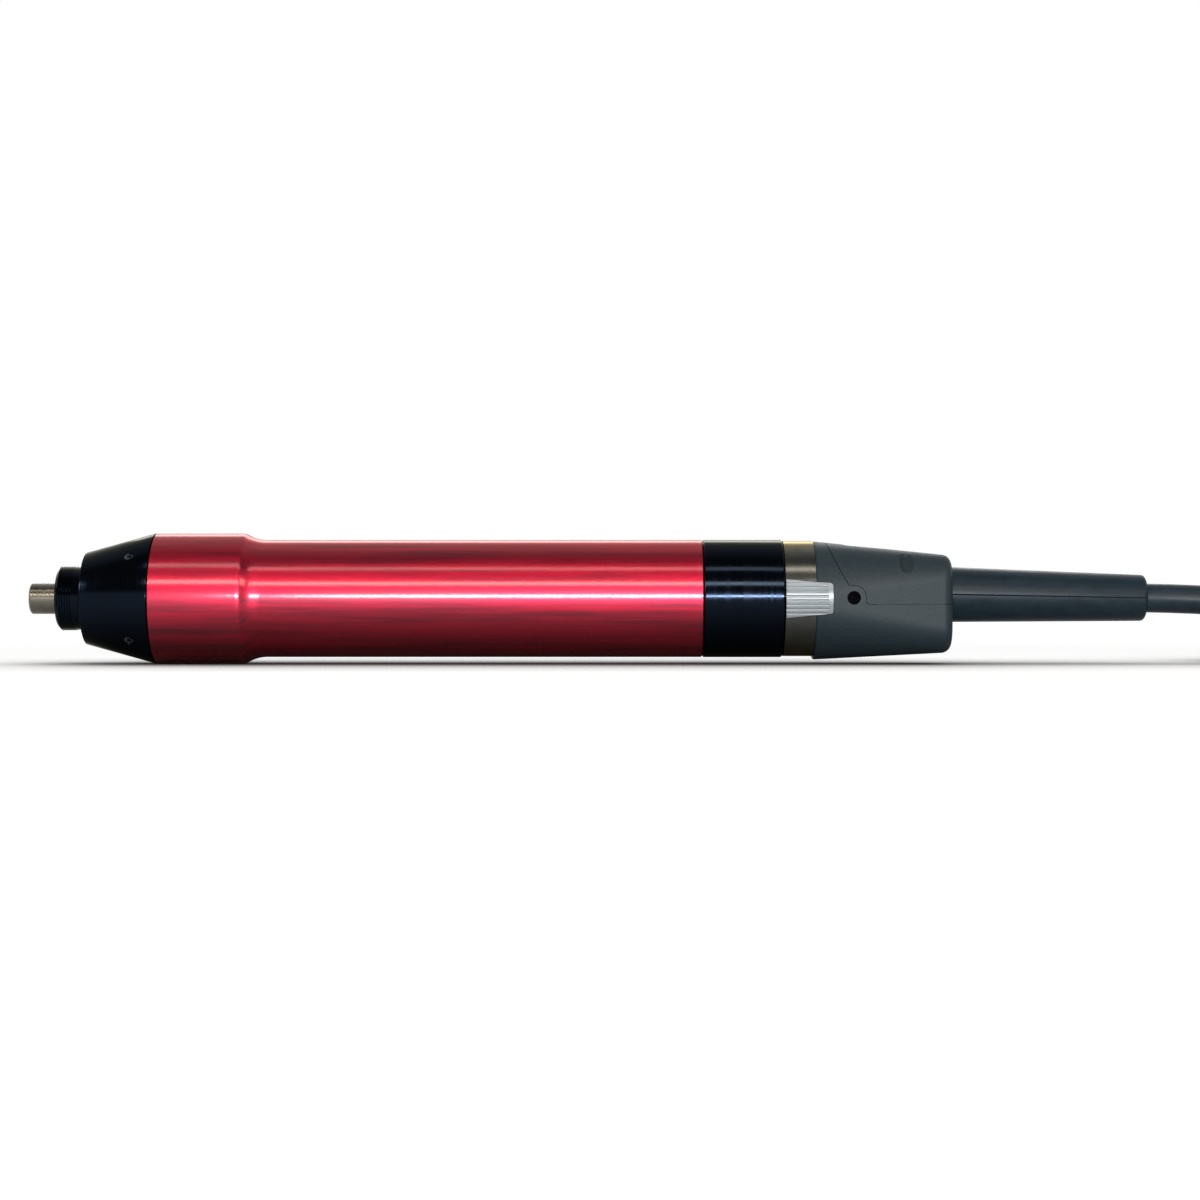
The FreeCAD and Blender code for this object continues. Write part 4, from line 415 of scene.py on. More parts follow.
def map_range(tree, value, start, end, low, high):
    """A number that runs from low to high as the value runs from start to end."""
    node = tree.nodes.new("ShaderNodeMapRange")
    feed(tree, node.inputs["Value"], value)
    feed(tree, node.inputs["From Min"], start)
    feed(tree, node.inputs["From Max"], end)
    feed(tree, node.inputs["To Min"], low)
    feed(tree, node.inputs["To Max"], high)
    return node.outputs["Result"]


def when_seen(tree, unseen, seen):
    """A number for rays that show a surface, also mirrored or through glass, or for the rest."""
    path = tree.nodes.new("ShaderNodeLightPath")
    value = path.outputs["Is Camera Ray"]
    for kind in ("Is Glossy Ray", "Is Transmission Ray"):
        value = combine(tree, "MAXIMUM", value, path.outputs[kind])
    return map_range(tree, value, 0.0, 1.0, unseen, seen)


def shade(colour, factor):
    """A colour made darker or paler."""
    return tuple(factor * channel for channel in colour)


class Finish:
    """A Principled material that is built up node by node on Object coordinates."""

    def __init__(self, name, colour, metallic, roughness):
        self.material = bpy.data.materials.new(name)
        self.material.use_nodes = True
        self.tree = self.material.node_tree
        self.nodes = self.tree.nodes
        self.links = self.tree.links
        self.shader = self.nodes["Principled BSDF"]
        self.set("Base Color", (*colour, 1))
        self.set("Metallic", metallic)
        self.set("Roughness", roughness)
        self.place = self.nodes.new("ShaderNodeTexCoord").outputs["Object"]

    def set(self, socket, value):
        """Give an input of the shader a fixed value."""
        self.shader.inputs[socket].default_value = value

    def to(self, socket, value):
        """Link an output to an input of the shader."""
        self.links.new(value, self.shader.inputs[socket])

    def stretched(self, scale):
        """Object coordinates scaled along each axis."""
        mapping = self.nodes.new("ShaderNodeMapping")
        mapping.inputs["Scale"].default_value = scale
        self.links.new(self.place, mapping.inputs["Vector"])
        return mapping.outputs["Vector"]

    def noise(self, scale, detail=4.0, roughness=0.55):
        """Noise, as fine along each axis as the scale says."""
        node = self.nodes.new("ShaderNodeTexNoise")
        node.inputs["Scale"].default_value = 1.0
        node.inputs["Detail"].default_value = detail
        node.inputs["Roughness"].default_value = roughness
        self.links.new(self.stretched(scale), node.inputs["Vector"])
        return node.outputs["Fac"]

    def ramp(self, value, stops, mode="LINEAR"):
        """Colour that runs through (position, colour) stops."""
        node = self.nodes.new("ShaderNodeValToRGB")
        node.color_ramp.interpolation = mode
        for element, (position, colour) in zip(node.color_ramp.elements, stops):
            element.position = position
            element.color = (*colour, 1)
        self.links.new(value, node.inputs["Fac"])
        return node.outputs["Color"]

    def grey(self, value, low, high, start=0.3, end=0.7):
        """A number that runs from low to high as the value runs from start to end."""
        return map_range(self.tree, value, start, end, low, high)

    def bump(self, height, distance, strength):
        """Raise the surface by a height, on top of any bump before it."""
        node = self.nodes.new("ShaderNodeBump")
        node.inputs["Distance"].default_value = distance
        node.inputs["Strength"].default_value = strength
        self.links.new(height, node.inputs["Height"])
        if self.shader.inputs["Normal"].is_linked:
            before = self.shader.inputs["Normal"].links[0].from_socket
            self.links.new(before, node.inputs["Normal"])
        self.to("Normal", node.outputs["Normal"])


def red_anodised(colours):
    """Dyed aluminium tube, drawn along its length, under a clear seal, with specks and darker
    lengthwise streaks that are partly drawing marks and partly a painted reflection of a dark
    streaked surface.
    """
    made = Finish("red_anodised", colours.red, metallic=1.0, roughness=0.4)
    # Darker lengthwise streaks: partly drawing marks, partly a painted reflection of a dark streaked
    # surface
    streaks_and_reflection = made.noise((14, 420, 420), detail=5.0, roughness=0.6)
    made.to("Base Color", made.ramp(streaks_and_reflection, ((0.34, colours.red_deep), (0.56, colours.red))))
    scuffs = made.noise((60, 900, 900), detail=6.0, roughness=0.65)
    made.to("Roughness", made.grey(scuffs, 0.31, 0.41))
    made.bump(made.noise((120, 2600, 2600), detail=3.0), distance=0.000006, strength=0.4)
    made.bump(made.noise((1300, 1700, 1700), detail=2.0), distance=0.000012, strength=0.6)
    made.to("Coat Normal", made.shader.inputs["Normal"].links[0].from_socket)
    made.set("Specular Tint", (0.55, 0.35, 0.30, 1))
    made.set("Coat Weight", 0.55)
    made.set("Coat Roughness", 0.14)


def black_anodised(colours):
    """Black dyed aluminium with the fine rings that turning leaves."""
    made = Finish("black_dyed_alloy", colours.black, metallic=1.0, roughness=0.2)
    rings = made.noise((2600, 12, 12), detail=2.0)
    made.bump(rings, distance=0.000004, strength=0.5)
    made.to("Roughness", made.grey(rings, 0.06, 0.19))
    dust = made.noise((900, 900, 900), detail=5.0, roughness=0.7)
    pale = shade(colours.black, 2)
    made.to("Base Color", made.ramp(dust, ((0.60, colours.black), (0.90, pale))))
    made.set("Specular Tint", (0.6, 0.6, 0.55, 1))


def ground_metal(name, colour, roughness, grain):
    """Bare metal with fine grinding marks and a faint uneven tarnish."""
    made = Finish(name, colour, metallic=1.0, roughness=roughness)
    grind = made.noise(grain, detail=1.0)
    made.bump(grind, distance=0.000001, strength=0.3)
    made.to("Roughness", made.grey(grind, roughness * 0.92, roughness * 1.08))
    stain = made.noise((300, 300, 300), detail=5.0)
    made.to("Base Color", made.ramp(stain, ((0.34, shade(colour, 0.86)), (0.60, colour))))
    return made


def moulded(name, colour, roughness, grain):
    """Moulded plastic with an eroded, slightly mottled surface."""
    made = Finish(name, colour, metallic=0.0, roughness=roughness)
    texture = made.noise((grain, grain, grain), roughness=0.6)
    made.bump(texture, distance=0.00004, strength=0.6)
    mottle = made.noise((1700, 1700, 1700), detail=3.0, roughness=0.6)
    stops = ((0.35, shade(colour, 0.85)), (0.70, shade(colour, 1.25)))
    made.to("Base Color", made.ramp(mottle, stops))
    made.to("Roughness", made.grey(texture, roughness - 0.07, roughness + 0.08))
    made.set("Specular IOR Level", 0.18)


def boot_rubber(colours):
    """Soft rubber with a faint bloom."""
    made = Finish("boot_rubber", colours.rubber, metallic=0.0, roughness=0.46)
    made.bump(made.noise((2600, 2600, 2600)), distance=0.00003, strength=0.5)
    bloom = made.noise((180, 420, 420), detail=5.0, roughness=0.6)
    paler = shade(colours.rubber, 1.5)
    made.to("Base Color", made.ramp(bloom, ((0.36, colours.rubber), (0.70, paler))))
    made.to("Roughness", made.grey(bloom, 0.33, 0.42))
    made.set("Specular IOR Level", 0.16)


def cord_sheath(colours):
    """Cord's rubber sheath with scuffs along it."""
    made = Finish("cord_sheath", colours.sheath, metallic=0.0, roughness=0.44)
    made.bump(made.noise((1500, 1500, 1500)), distance=0.00004, strength=0.5)
    scuff = made.noise((120, 120, 120), detail=6.0, roughness=0.65)
    paler = shade(colours.sheath, 1.7)
    made.to("Base Color", made.ramp(scuff, ((0.40, colours.sheath), (0.74, paler))))
    made.to("Roughness", made.grey(scuff, 0.34, 0.44))
    made.set("Specular IOR Level", 0.16)


def clear_lens(colours):
    """Clear ribbed plastic, a little frosted."""
    made = Finish("clear_lens", colours.lens, metallic=0.0, roughness=0.22)
    made.set("Transmission Weight", 0.6)
    made.set("IOR", 1.49)
    frost = made.noise((120, 120, 120), detail=2.0)
    made.to("Roughness", made.grey(frost, 0.18, 0.26))
    dim = shade(colours.lens, 0.92)
    made.to("Base Color", made.ramp(frost, ((0.36, dim), (0.62, colours.lens))))


def woven_band(colours):
    """Woven band: two crossed sets of threads."""
    made = Finish("woven_band", colours.band, metallic=0.0, roughness=0.85)
    threads = []
    for direction in ("X", "DIAGONAL"):
        node = made.nodes.new("ShaderNodeTexWave")
        node.wave_type = "BANDS"
        node.bands_direction = direction
        node.inputs["Scale"].default_value = 1.0
        node.inputs["Distortion"].default_value = 0.4
        made.links.new(made.stretched((900, 900, 900)), node.inputs["Vector"])
        threads.append(node.outputs["Fac"])
    weave = combine(made.tree, "MULTIPLY", *threads)
    made.bump(weave, distance=0.00018, strength=0.8)
    dark, pale = (0.010, 0.010, 0.012), (0.050, 0.050, 0.056)
    made.to("Base Color", made.ramp(weave, ((0.05, dark), (0.75, pale))))
    made.set("Sheen Weight", 0.25)


def enamelled_copper(colours):
    """Wound copper wire under enamel."""
    made = Finish("enamelled_copper", colours.copper, metallic=0.9, roughness=0.3)
    strands = made.noise((60, 2400, 2400), detail=2.0)
    made.bump(strands, distance=0.0001, strength=0.8)
    dark, pale = (0.30, 0.09, 0.03), (0.68, 0.28, 0.12)
    made.to("Base Color", made.ramp(strands, ((0.35, dark), (0.62, pale))))


def circuit_board(colours):
    """Green board with paler tracks."""
    made = Finish("circuit_board", colours.board, metallic=0.0, roughness=0.35)
    tracks = made.noise((900, 900, 900), detail=1.0)
    dark, pale = (0.010, 0.09, 0.034), (0.03, 0.19, 0.07)
    made.to("Base Color", made.ramp(tracks, ((0.46, dark), (0.52, pale)), "CONSTANT"))
    made.bump(tracks, distance=0.00003, strength=0.5)


def floor_finish(painted_shade_reach):
    """Matt pale floor with a white glow that turns plain white away from the tool; near the tool the
    glow is darkened by painted shade from ambient occlusion.
    """
    made = Finish("studio_floor", (0.12, 0.12, 0.12), metallic=0.0, roughness=0.9)
    reach = made.nodes.new("ShaderNodeVectorMath")
    reach.operation = "LENGTH"
    made.links.new(made.place, reach.inputs[0])
    fade = made.grey(reach.outputs["Value"], 0.9, 1.0, start=0.3, end=0.8)
    # Painted shade: ambient occlusion darkens the floor's white glow near the tool, standing in for
    # its contact shadow
    corner = made.nodes.new("ShaderNodeAmbientOcclusion")
    corner.samples = 8
    corner.inputs["Distance"].default_value = painted_shade_reach
    painted_shade = combine(made.tree, "POWER", corner.outputs["AO"], 2.8)
    glow = combine(made.tree, "MULTIPLY", fade, painted_shade)
    seen = when_seen(made.tree, unseen=0.0, seen=1.0)
    made.to("Emission Color", combine(made.tree, "MULTIPLY", glow, seen))
    made.set("Emission Strength", 1.0)
    made.set("Specular IOR Level", 0.0)
    return made.material


def paint(material, *nodes):
    """Give carried-over CAD nodes a finish."""
    for node in nodes:
        obj = NODES[node]
        obj.data.materials.clear()
        obj.data.materials.append(material)


def mount(piece, material, body, slot, *nodes):
    """Finish a new piece, ride it on its body and let it stand for CAD nodes."""
    piece.data.materials.clear()
    piece.data.materials.append(material)
    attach(piece, body)
    if nodes:
        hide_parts(*nodes)


# Pieces


class SCREWDRIVER_OT_nose(bpy.types.Operator):
    """Turn the nose cone, wind its thread and sink the set screw holes"""

    bl_idname = "screwdriver.nose"
    bl_label = "Nose cone"

    def cone(self, sizes, front, step):
        """Turned cone, stepped where its thread ends."""
        _, rear, rear_radius = span("nose_cone")
        bush_front, bush_rear, bush_radius = span("nose_bush")
        bush_seat = bush_radius + SEAT_FIT
        case_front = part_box("gear_case")[0].x - FACE_GAP
        root = sizes.thread_radius - sizes.thread_depth
        slope = (rear_radius - sizes.cone_radius) / (rear - step)
        stations = [
            (front, sizes.opening),
            (front, root - sizes.front_chamfer),
            (front + sizes.front_chamfer, root),
            (step, root),
            (step, sizes.thread_radius + sizes.face_step),
            (step + sizes.face_slant, sizes.cone_radius + slope * sizes.face_slant),
            (rear, rear_radius),
            (rear, sizes.case_bore),
            (case_front, sizes.case_bore),
            (case_front, sizes.spring_bore),
            (bush_rear, sizes.spring_bore),
            (bush_rear, bush_seat),
            (bush_front, bush_seat),
            (bush_front, sizes.opening),
        ]
        return turn(stations, rounding=sizes.edge_round)

    def sink_screws(self, sizes, body):
        """Cut the set screw holes, square to the tool's axis."""
        low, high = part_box("set_screws")
        centre = Vector(((low.x + high.x) / 2, 0, AXIS_Z))
        for degrees in SET_SCREW_DEGREES:
            angle = math.radians(degrees)
            out = Vector((0, math.cos(angle), math.sin(angle)))
            choose()
            bpy.ops.mesh.primitive_cylinder_add(
                vertices=40,
                radius=sizes.screw_bore,
                depth=sizes.screw_depth,
                location=centre + out * sizes.screw_reach,
                rotation=(angle - math.pi / 2, 0, 0),
            )
            cut(body, bpy.context.object)

    def thread(self, sizes, front, step):
        """Three-sided ridge wound round the nose, closed at both ends."""
        pitch = sizes.thread_pitch
        start = front + sizes.thread_lead
        choose()
        bpy.ops.mesh.primitive_circle_add(
            vertices=3,
            radius=pitch * THREAD_RIDGE,
            location=(start, 0, AXIS_Z),
            rotation=(math.pi / 2, 0, 0),
        )
        ridge = bpy.context.object
        bpy.ops.object.transform_apply(location=False, rotation=True, scale=False)
        top = max(vertex.co.z for vertex in ridge.data.vertices)
        with editing():
            bpy.ops.transform.translate(value=(0, 0, sizes.thread_radius - top))
        apply_modifier(
            ridge,
            "SCREW",
            axis="X",
            screw_offset=pitch,
            iterations=int((step - sizes.relief_width - start) / pitch),
            steps=THREAD_STEPS,
            render_steps=THREAD_STEPS,
            use_smooth_shade=False,
        )
        with editing():
            bpy.ops.mesh.fill_holes(sides=4)
            bpy.ops.mesh.normals_make_consistent(inside=False)
        return ridge

    def execute(self, context):
        sizes = context.scene.nose_sizes
        black = bpy.data.materials["black_dyed_alloy"]
        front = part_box("nose_cone")[0].x
        step = front + sizes.thread_length
        body = self.cone(sizes, front, step)
        self.sink_screws(sizes, body)
        settle(body, "nose_cone_body")
        mount(body, black, "housing", "black_anodised", "nose_cone")
        ridge = self.thread(sizes, front, step)
        settle(ridge, "nose_thread", THREAD_SMOOTH_ANGLE)
        mount(ridge, black, "housing", "black_anodised")
        return {"FINISHED"}


class SCREWDRIVER_OT_grip(bpy.types.Operator):
    """Turn the red grip tube with its S-shaped shoulder, and the black collar behind it"""

    bl_idname = "screwdriver.grip"
    bl_label = "Grip tube and collar"

    def tube(self, sizes, bore):
        """Turned tube whose shoulder is a convex arc that runs into a concave one."""
        front, rear, wide = span("body_tube")
        narrow, chamfer = sizes.grip_radius, sizes.end_chamfer
        start = front + sizes.shoulder_start
        end = start + sizes.shoulder_length
        lean = 2 * math.atan2(wide - narrow, sizes.shoulder_length)
        both = sizes.shoulder_length / math.sin(lean)
        convex = CONVEX_SHARE * both
        concave = both - convex
        stations = [(front, wide - chamfer), (front + chamfer, wide)]
        for step in range(CONVEX_STEPS):
            angle = lean * step / CONVEX_STEPS
            fall = convex * (1 - math.cos(angle))
            stations.append((start + convex * math.sin(angle), wide - fall))
        for step in range(CONCAVE_STEPS + 1):
            angle = lean * (1 - step / CONCAVE_STEPS)
            rise = concave * (1 - math.cos(angle))
            stations.append((end - concave * math.sin(angle), narrow + rise))
        case_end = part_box("gear_case")[1].x + FACE_GAP
        stations += [
            (rear - chamfer, narrow),
            (rear, narrow - chamfer),
            (rear, bore),
            (case_end + sizes.bore_taper, bore),
            (case_end, wide - sizes.wall),
            (front, wide - sizes.wall),
        ]
        return turn(stations)

    def collar(self, sizes, bore):
        """Turned collar with a spigot in the tube, on the rear frame."""
        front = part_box("body_tube")[1].x
        spigot, rear, radius = span("rear_collar")
        frame_front, _, frame_radius = span("rear_frame")
        frame_seat = frame_radius + SEAT_FIT
        spigot_bore = bore - sizes.spigot_wall
        stations = [
            (spigot, spigot_bore),
            (spigot, bore - SEAT_FIT),
            (front, bore - SEAT_FIT),
            (front, radius - sizes.end_chamfer),
            (front + sizes.end_chamfer, radius),
            (rear - sizes.collar_chamfer, radius),
            (rear, radius - sizes.collar_chamfer),
            (rear, frame_seat),
            (frame_front, frame_seat),
            (frame_front, spigot_bore),
        ]
        return turn(stations, rounding=sizes.edge_round / 2)

    def execute(self, context):
        sizes = context.scene.grip_sizes
        bore = sizes.grip_radius - sizes.wall
        tube = settle(self.tube(sizes, bore), "grip_tube")
        mount(tube, bpy.data.materials["red_anodised"], "housing", "red_tube", "body_tube")
        collar = settle(self.collar(sizes, bore), "turned_collar")
        black = bpy.data.materials["black_dyed_alloy"]
        mount(collar, black, "housing", "black_anodised", "rear_collar")
        return {"FINISHED"}


class SCREWDRIVER_OT_boot(bpy.types.Operator):
    """Turn the tapered rubber strain relief and lay it along the cord's way out"""

    bl_idname = "screwdriver.boot"
    bl_label = "Strain relief"

    def rubber(self, sizes, wall, run):
        """Turned boot, straight along the tool's axis, with its flange inside the housing."""
        tip = wall + run
        flange_rear = wall - sizes.neck
        flange_front = flange_rear - sizes.flange_width
        stations = [
            (flange_front, sizes.bore),
            (flange_front, sizes.flange_radius),
            (flange_rear, sizes.flange_radius),
            (flange_rear, sizes.front_radius),
            (wall, sizes.front_radius),
        ]
        r = sizes.end_round
        for step in range(BOOT_ROUND_STEPS + 1):
            angle = math.radians(90 * step / BOOT_ROUND_STEPS)
            radius = sizes.rear_radius - r + r * math.cos(angle)
            stations.append((tip - r + r * math.sin(angle), radius))
        stations.append((tip, sizes.bore))
        return turn(stations, sides=96)

    def cut_seams(self, sizes, boot, wall, run):
        """Cut the mould seam along both sides with the edge of a long square bar."""
        taper = math.atan2(sizes.front_radius - sizes.rear_radius, run)
        middle = (sizes.front_radius + sizes.rear_radius) / 2
        bar = math.sqrt(2) * sizes.seam_depth
        for side in (-1, 1):
            choose()
            bpy.ops.mesh.primitive_cube_add(
                size=1,
                location=(wall + run / 2, side * middle, AXIS_Z),
                rotation=(math.pi / 4, 0, -side * taper),
                scale=(run + 2 * sizes.end_round, bar, bar),
            )
            cut(boot, bpy.context.object)

    def execute(self, context):
        sizes = context.scene.boot_sizes
        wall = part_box("lower_shell")[1].x
        tilt = math.atan2(sizes.front_rise - sizes.rear_rise, sizes.length)
        run = sizes.length / math.cos(tilt)
        boot = self.rubber(sizes, wall, run)
        self.cut_seams(sizes, boot, wall, run)
        choose(boot)
        bpy.ops.object.transform_apply(location=True, rotation=True, scale=True)
        pivot = (wall, 0, AXIS_Z + sizes.front_rise)
        with editing():
            bpy.ops.transform.translate(value=(0, 0, sizes.front_rise))
            bpy.ops.transform.rotate(value=-tilt, orient_axis="Y", center_override=pivot)
        settle(boot, "strain_relief_boot")
        mount(boot, bpy.data.materials["boot_rubber"], "housing", "boot", "strain_relief")
        return {"FINISHED"}


def hank_points(sizes, enter):
    """Control points of the hank: runs that wind inward on top and outward below, and a tail."""
    half = sizes.half_run
    last = HANK_RUNS - 1
    inmost = HANK_RUNS // 2

    def run_offset(run):
        """Distance of a run from the hank's middle line."""
        return sizes.inner_offset + abs(run - inmost) * sizes.step / 2

    middle_x, middle_y = enter[0] + half, enter[1] + run_offset(0)
    points = []
    for run in range(HANK_RUNS):
        offset = run_offset(run)
        way = 1 if run % 2 == 0 else -1
        start_z = sizes.high if run <= inmost else sizes.low
        end_z = sizes.high if run < inmost else sizes.low
        for step in range(1 if run == 0 else 0, RUN_STEPS + 1):
            along = 2 * step / RUN_STEPS - 1
            out = sizes.tail_step if run == last and along > 0 else 0.0
            drawn = (sizes.waist + out) * (1 + math.cos(math.pi * along)) / 2 - out
            share = (1 - math.cos(math.pi * step / RUN_STEPS)) / 2
            x = middle_x + way * along * half
            y = middle_y - way * (offset - drawn)
            points.append((x, y, start_z + (end_z - start_z) * share))
        if run == last:
            break
        following = run_offset(run + 1)
        centre_y = middle_y + way * (following - offset) / 2
        reach = (offset + following) / 2 / math.cos(math.pi / (2 * FOLD_STEPS))
        for step in range(1, FOLD_STEPS):
            angle = math.pi * step / FOLD_STEPS
            x = middle_x + way * (half + reach * math.sin(angle))
            points.append((x, centre_y - way * reach * math.cos(angle), end_z))
    x, y, z = points[-1]
    rise = sizes.plug_height - z
    for share, lift in TAIL_RISE:
        points.append((x + sizes.tail * share, y, z + rise * lift))
    return points


class SCREWDRIVER_OT_cord(bpy.types.Operator):
    """Draw the cord from the boot through its tied hank to the plug"""

    bl_idname = "screwdriver.cord"
    bl_label = "Cord"

    def execute(self, context):
        sizes = context.scene.cord_sizes
        route = [*LEAD_ROUTE, *hank_points(sizes, LEAD_ROUTE[-1])]
        data = bpy.data.curves.new("cord_run", "CURVE")
        data.dimensions = "3D"
        data.bevel_depth = sizes.diameter / 2
        data.bevel_resolution = 6
        data.resolution_u = 6
        data.use_fill_caps = True
        spline = data.splines.new("NURBS")
        spline.points.add(len(route) - 1)
        for point, place in zip(spline.points, route):
            point.co = (*place, 1)
        spline.order_u = 3
        spline.use_endpoint_u = True
        cord = bpy.data.objects.new("cord_run", data)
        context.scene.collection.objects.link(cord)
        data.materials.append(bpy.data.materials["cord_sheath"])
        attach(cord, "housing")
        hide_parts("cord_lead", "cord_hank")
        return {"FINISHED"}


class SCREWDRIVER_OT_tie(bpy.types.Operator):
    """Wrap the woven band round the hank's waist"""

    bl_idname = "screwdriver.tie"
    bl_label = "Hank tie"

    def execute(self, context):
        sizes = context.scene.cord_sizes
        low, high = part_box("hank_tie")
        size = high - low
        choose()
        bpy.ops.mesh.primitive_cube_add(size=1, location=(low + high) / 2)
        band = bpy.context.object
        band.scale = size
        bpy.ops.object.transform_apply(location=False, rotation=False, scale=True)
        mesh = band.data
        bpy.ops.object.mode_set(mode="EDIT")
        bpy.ops.mesh.select_all(action="DESELECT")
        bpy.ops.mesh.select_mode(type="EDGE")
        bpy.ops.object.mode_set(mode="OBJECT")
        for edge in mesh.edges:
            a, b = (mesh.vertices[i].co for i in edge.vertices)
            edge.select = abs(a.x - b.x) > size.x / 2
        bpy.ops.object.mode_set(mode="EDIT")
        bpy.ops.mesh.bevel(offset=sizes.tie_corner, segments=8, profile=0.5)
        bpy.ops.mesh.select_mode(type="FACE")
        bpy.ops.mesh.select_all(action="DESELECT")
        bpy.ops.object.mode_set(mode="OBJECT")
        for face in mesh.polygons:
            face.select = abs(face.normal.x) > 0.9
        bpy.ops.object.mode_set(mode="EDIT")
        bpy.ops.mesh.delete(type="FACE")
        bpy.ops.mesh.select_all(action="SELECT")
        bpy.ops.mesh.normals_make_consistent(inside=False)
        bpy.ops.mesh.subdivide(number_cuts=2)
        bpy.ops.object.mode_set(mode="OBJECT")
        apply_modifier(
            band, "SOLIDIFY", thickness=sizes.tie_thickness, offset=-1.0, use_even_offset=True
        )
        round_edges(band, sizes.tie_edge, BAND_EDGE_ANGLE)
        settle(band, "hank_band")
        mount(band, bpy.data.materials["woven_band"], "housing", "tie", "hank_tie")
        return {"FINISHED"}


class SCREWDRIVER_OT_spring(bpy.types.Operator):
    """Give the start spring a mesh of its own"""

    bl_idname = "screwdriver.spring"
    bl_label = "Start spring"

    def execute(self, context):
        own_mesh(NODES["start_spring"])
        return {"FINISHED"}


class SCREWDRIVER_OT_finishes(bpy.types.Operator):
    """Make the finishes and give them to the pieces that keep their modelled shape"""

    bl_idname = "screwdriver.finishes"
    bl_label = "Finishes"

    def execute(self, context):
        colours = context.scene.finish_colours
        red_anodised(colours)
        black_anodised(colours)
        cord_sheath(colours)
        woven_band(colours)
        boot_rubber(colours)
        clear_lens(colours)
        circuit_board(colours)
        enamelled_copper(colours)
        metals = {}
        for name, (colour, roughness, grain) in METALS.items():
            metals[name] = ground_metal(name, getattr(colours, colour), roughness, grain)
        metals["brushed_ring"].set("Specular Tint", (1.0, 0.84, 0.58, 1))
        for name, (colour, roughness, grain) in MOULDINGS.items():
            moulded(name, getattr(colours, colour), roughness, grain)
        for name, nodes in PAINTED.items():
            paint(bpy.data.materials[name], *nodes)
        return {"FINISHED"}


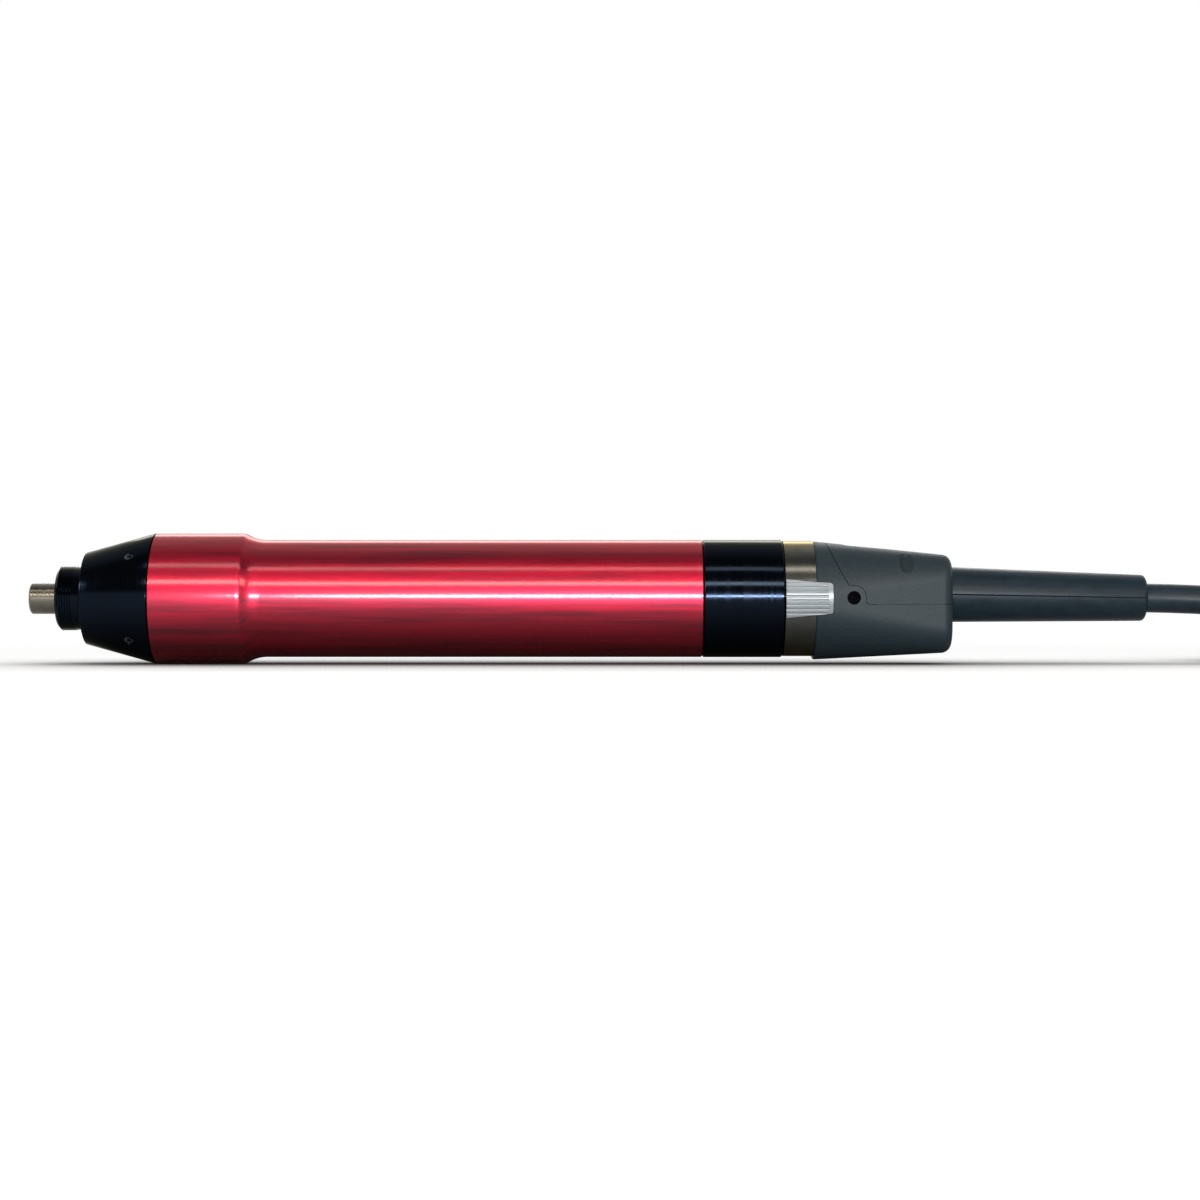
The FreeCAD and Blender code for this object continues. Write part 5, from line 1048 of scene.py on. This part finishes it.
class SCREWDRIVER_OT_stage(bpy.types.Operator):
    """Set the pale floor, the studio light and the camera"""

    bl_idname = "screwdriver.stage"
    bl_label = "Studio"

    def floor(self, sizes):
        """Floor under the tool."""
        choose()
        bpy.ops.mesh.primitive_plane_add(size=sizes.floor, location=(0, 0, 0))
        floor = bpy.context.object
        floor.name = "studio_floor"
        # The floor's finish paints shade into its glow within this reach of the tool
        floor.data.materials.append(floor_finish(sizes.painted_shade_reach))

    def room(self, scene):
        """White room that is dim above the camera, and gives other rays only a weak light."""
        scene.world = bpy.data.worlds.new("studio")
        scene.world.use_nodes = True
        tree = scene.world.node_tree
        place = tree.nodes.new("ShaderNodeTexCoord")
        way = tree.nodes.new("ShaderNodeSeparateXYZ")
        tree.links.new(place.outputs["Generated"], way.inputs["Vector"])
        back, up = way.outputs["Y"], way.outputs["Z"]
        ceiling = map_range(tree, up, start=0.35, end=0.75, low=1.0, high=0.9)
        camera_side = map_range(tree, back, start=-0.1, end=0.45, low=0.2, high=1.0)
        walls = map_range(tree, up, start=0.14, end=0.26, low=1.0, high=camera_side)
        seen = combine(tree, "MULTIPLY", ceiling, walls)
        background = tree.nodes["Background"]
        background.inputs["Color"].default_value = (1, 1, 1, 1)
        tree.links.new(when_seen(tree, unseen=0.06, seen=seen), background.inputs["Strength"])

    def lamp(self, scene, name, degrees, distance, size, watts, x, colour):
        """Soft lamp, aimed at the tool from an angle above the camera's direction."""
        data = bpy.data.lights.new(name, "AREA")
        data.shape = "RECTANGLE"
        data.size, data.size_y = size
        data.energy = watts
        data.color = colour
        lamp = bpy.data.objects.new(name, data)
        angle = math.radians(degrees)
        place = Vector((x, -distance * math.cos(angle), AXIS_Z + distance * math.sin(angle)))
        lamp.location = place
        aim = Vector((-place.x, -place.y, AXIS_Z - place.z))
        lamp.rotation_euler = aim.to_track_quat("-Z", "Y").to_euler()
        scene.collection.objects.link(lamp)

    def camera(self, scene, sizes):
        """Camera square to the tool's side, as in the photograph."""
        data = bpy.data.cameras.new("photo_camera")
        data.lens = CAMERA_LENS_MM
        data.sensor_width = CAMERA_SENSOR_MM
        data.clip_start = sizes.camera_clip
        camera = bpy.data.objects.new("photo_camera", data)
        height = AXIS_Z - sizes.camera_drop
        camera.location = (sizes.camera_right, -sizes.camera_distance, height)
        camera.rotation_euler = (math.pi / 2, 0, 0)
        scene.collection.objects.link(camera)
        scene.camera = camera

    def execute(self, context):
        scene = context.scene
        scene.view_settings.view_transform = "Standard"
        self.floor(scene.stage_sizes)
        self.room(scene)
        for name, settings in LAMPS.items():
            self.lamp(scene, name, *settings)
        self.camera(scene, scene.stage_sizes)
        return {"FINISHED"}


class SCREWDRIVER_PT_panel(bpy.types.Panel):
    """Lists the steps that dress the screwdriver, and their sizes and colours"""

    bl_label = "Inline Screwdriver"
    bl_space_type = "VIEW_3D"
    bl_region_type = "UI"
    bl_category = "Screwdriver"

    def draw(self, context):
        for operator in OPERATORS:
            self.layout.operator(operator.bl_idname)
        for group in GROUPS:
            box = self.layout.box()
            sizes = getattr(context.scene, group)
            for name in sizes.__annotations__:
                box.prop(sizes, name)


GROUPS = {
    "nose_sizes": NoseSizes,
    "grip_sizes": GripSizes,
    "boot_sizes": BootSizes,
    "cord_sizes": CordSizes,
    "stage_sizes": StageSizes,
    "finish_colours": FinishColours,
}
OPERATORS = (
    SCREWDRIVER_OT_stage,
    SCREWDRIVER_OT_finishes,
    SCREWDRIVER_OT_tie,
    SCREWDRIVER_OT_cord,
    SCREWDRIVER_OT_nose,
    SCREWDRIVER_OT_grip,
    SCREWDRIVER_OT_boot,
    SCREWDRIVER_OT_spring,
)


def register():
    """Register the sizes, the operators and the panel."""
    for name, group in GROUPS.items():
        bpy.utils.register_class(group)
        setattr(bpy.types.Scene, name, bpy.props.PointerProperty(type=group))
    for operator in OPERATORS:
        bpy.utils.register_class(operator)
    bpy.utils.register_class(SCREWDRIVER_PT_panel)


def unregister():
    """Take back what register() did."""
    bpy.utils.unregister_class(SCREWDRIVER_PT_panel)
    for operator in reversed(OPERATORS):
        bpy.utils.unregister_class(operator)
    for name, group in GROUPS.items():
        delattr(bpy.types.Scene, name)
        bpy.utils.unregister_class(group)


def main():
    """Dress the screwdriver, step by step."""
    register()
    bpy.ops.screwdriver.stage()
    bpy.ops.screwdriver.finishes()
    bpy.ops.screwdriver.tie()
    bpy.ops.screwdriver.cord()
    bpy.ops.screwdriver.nose()
    bpy.ops.screwdriver.grip()
    bpy.ops.screwdriver.boot()
    bpy.ops.screwdriver.spring()


if __name__ == "__main__":
    main()
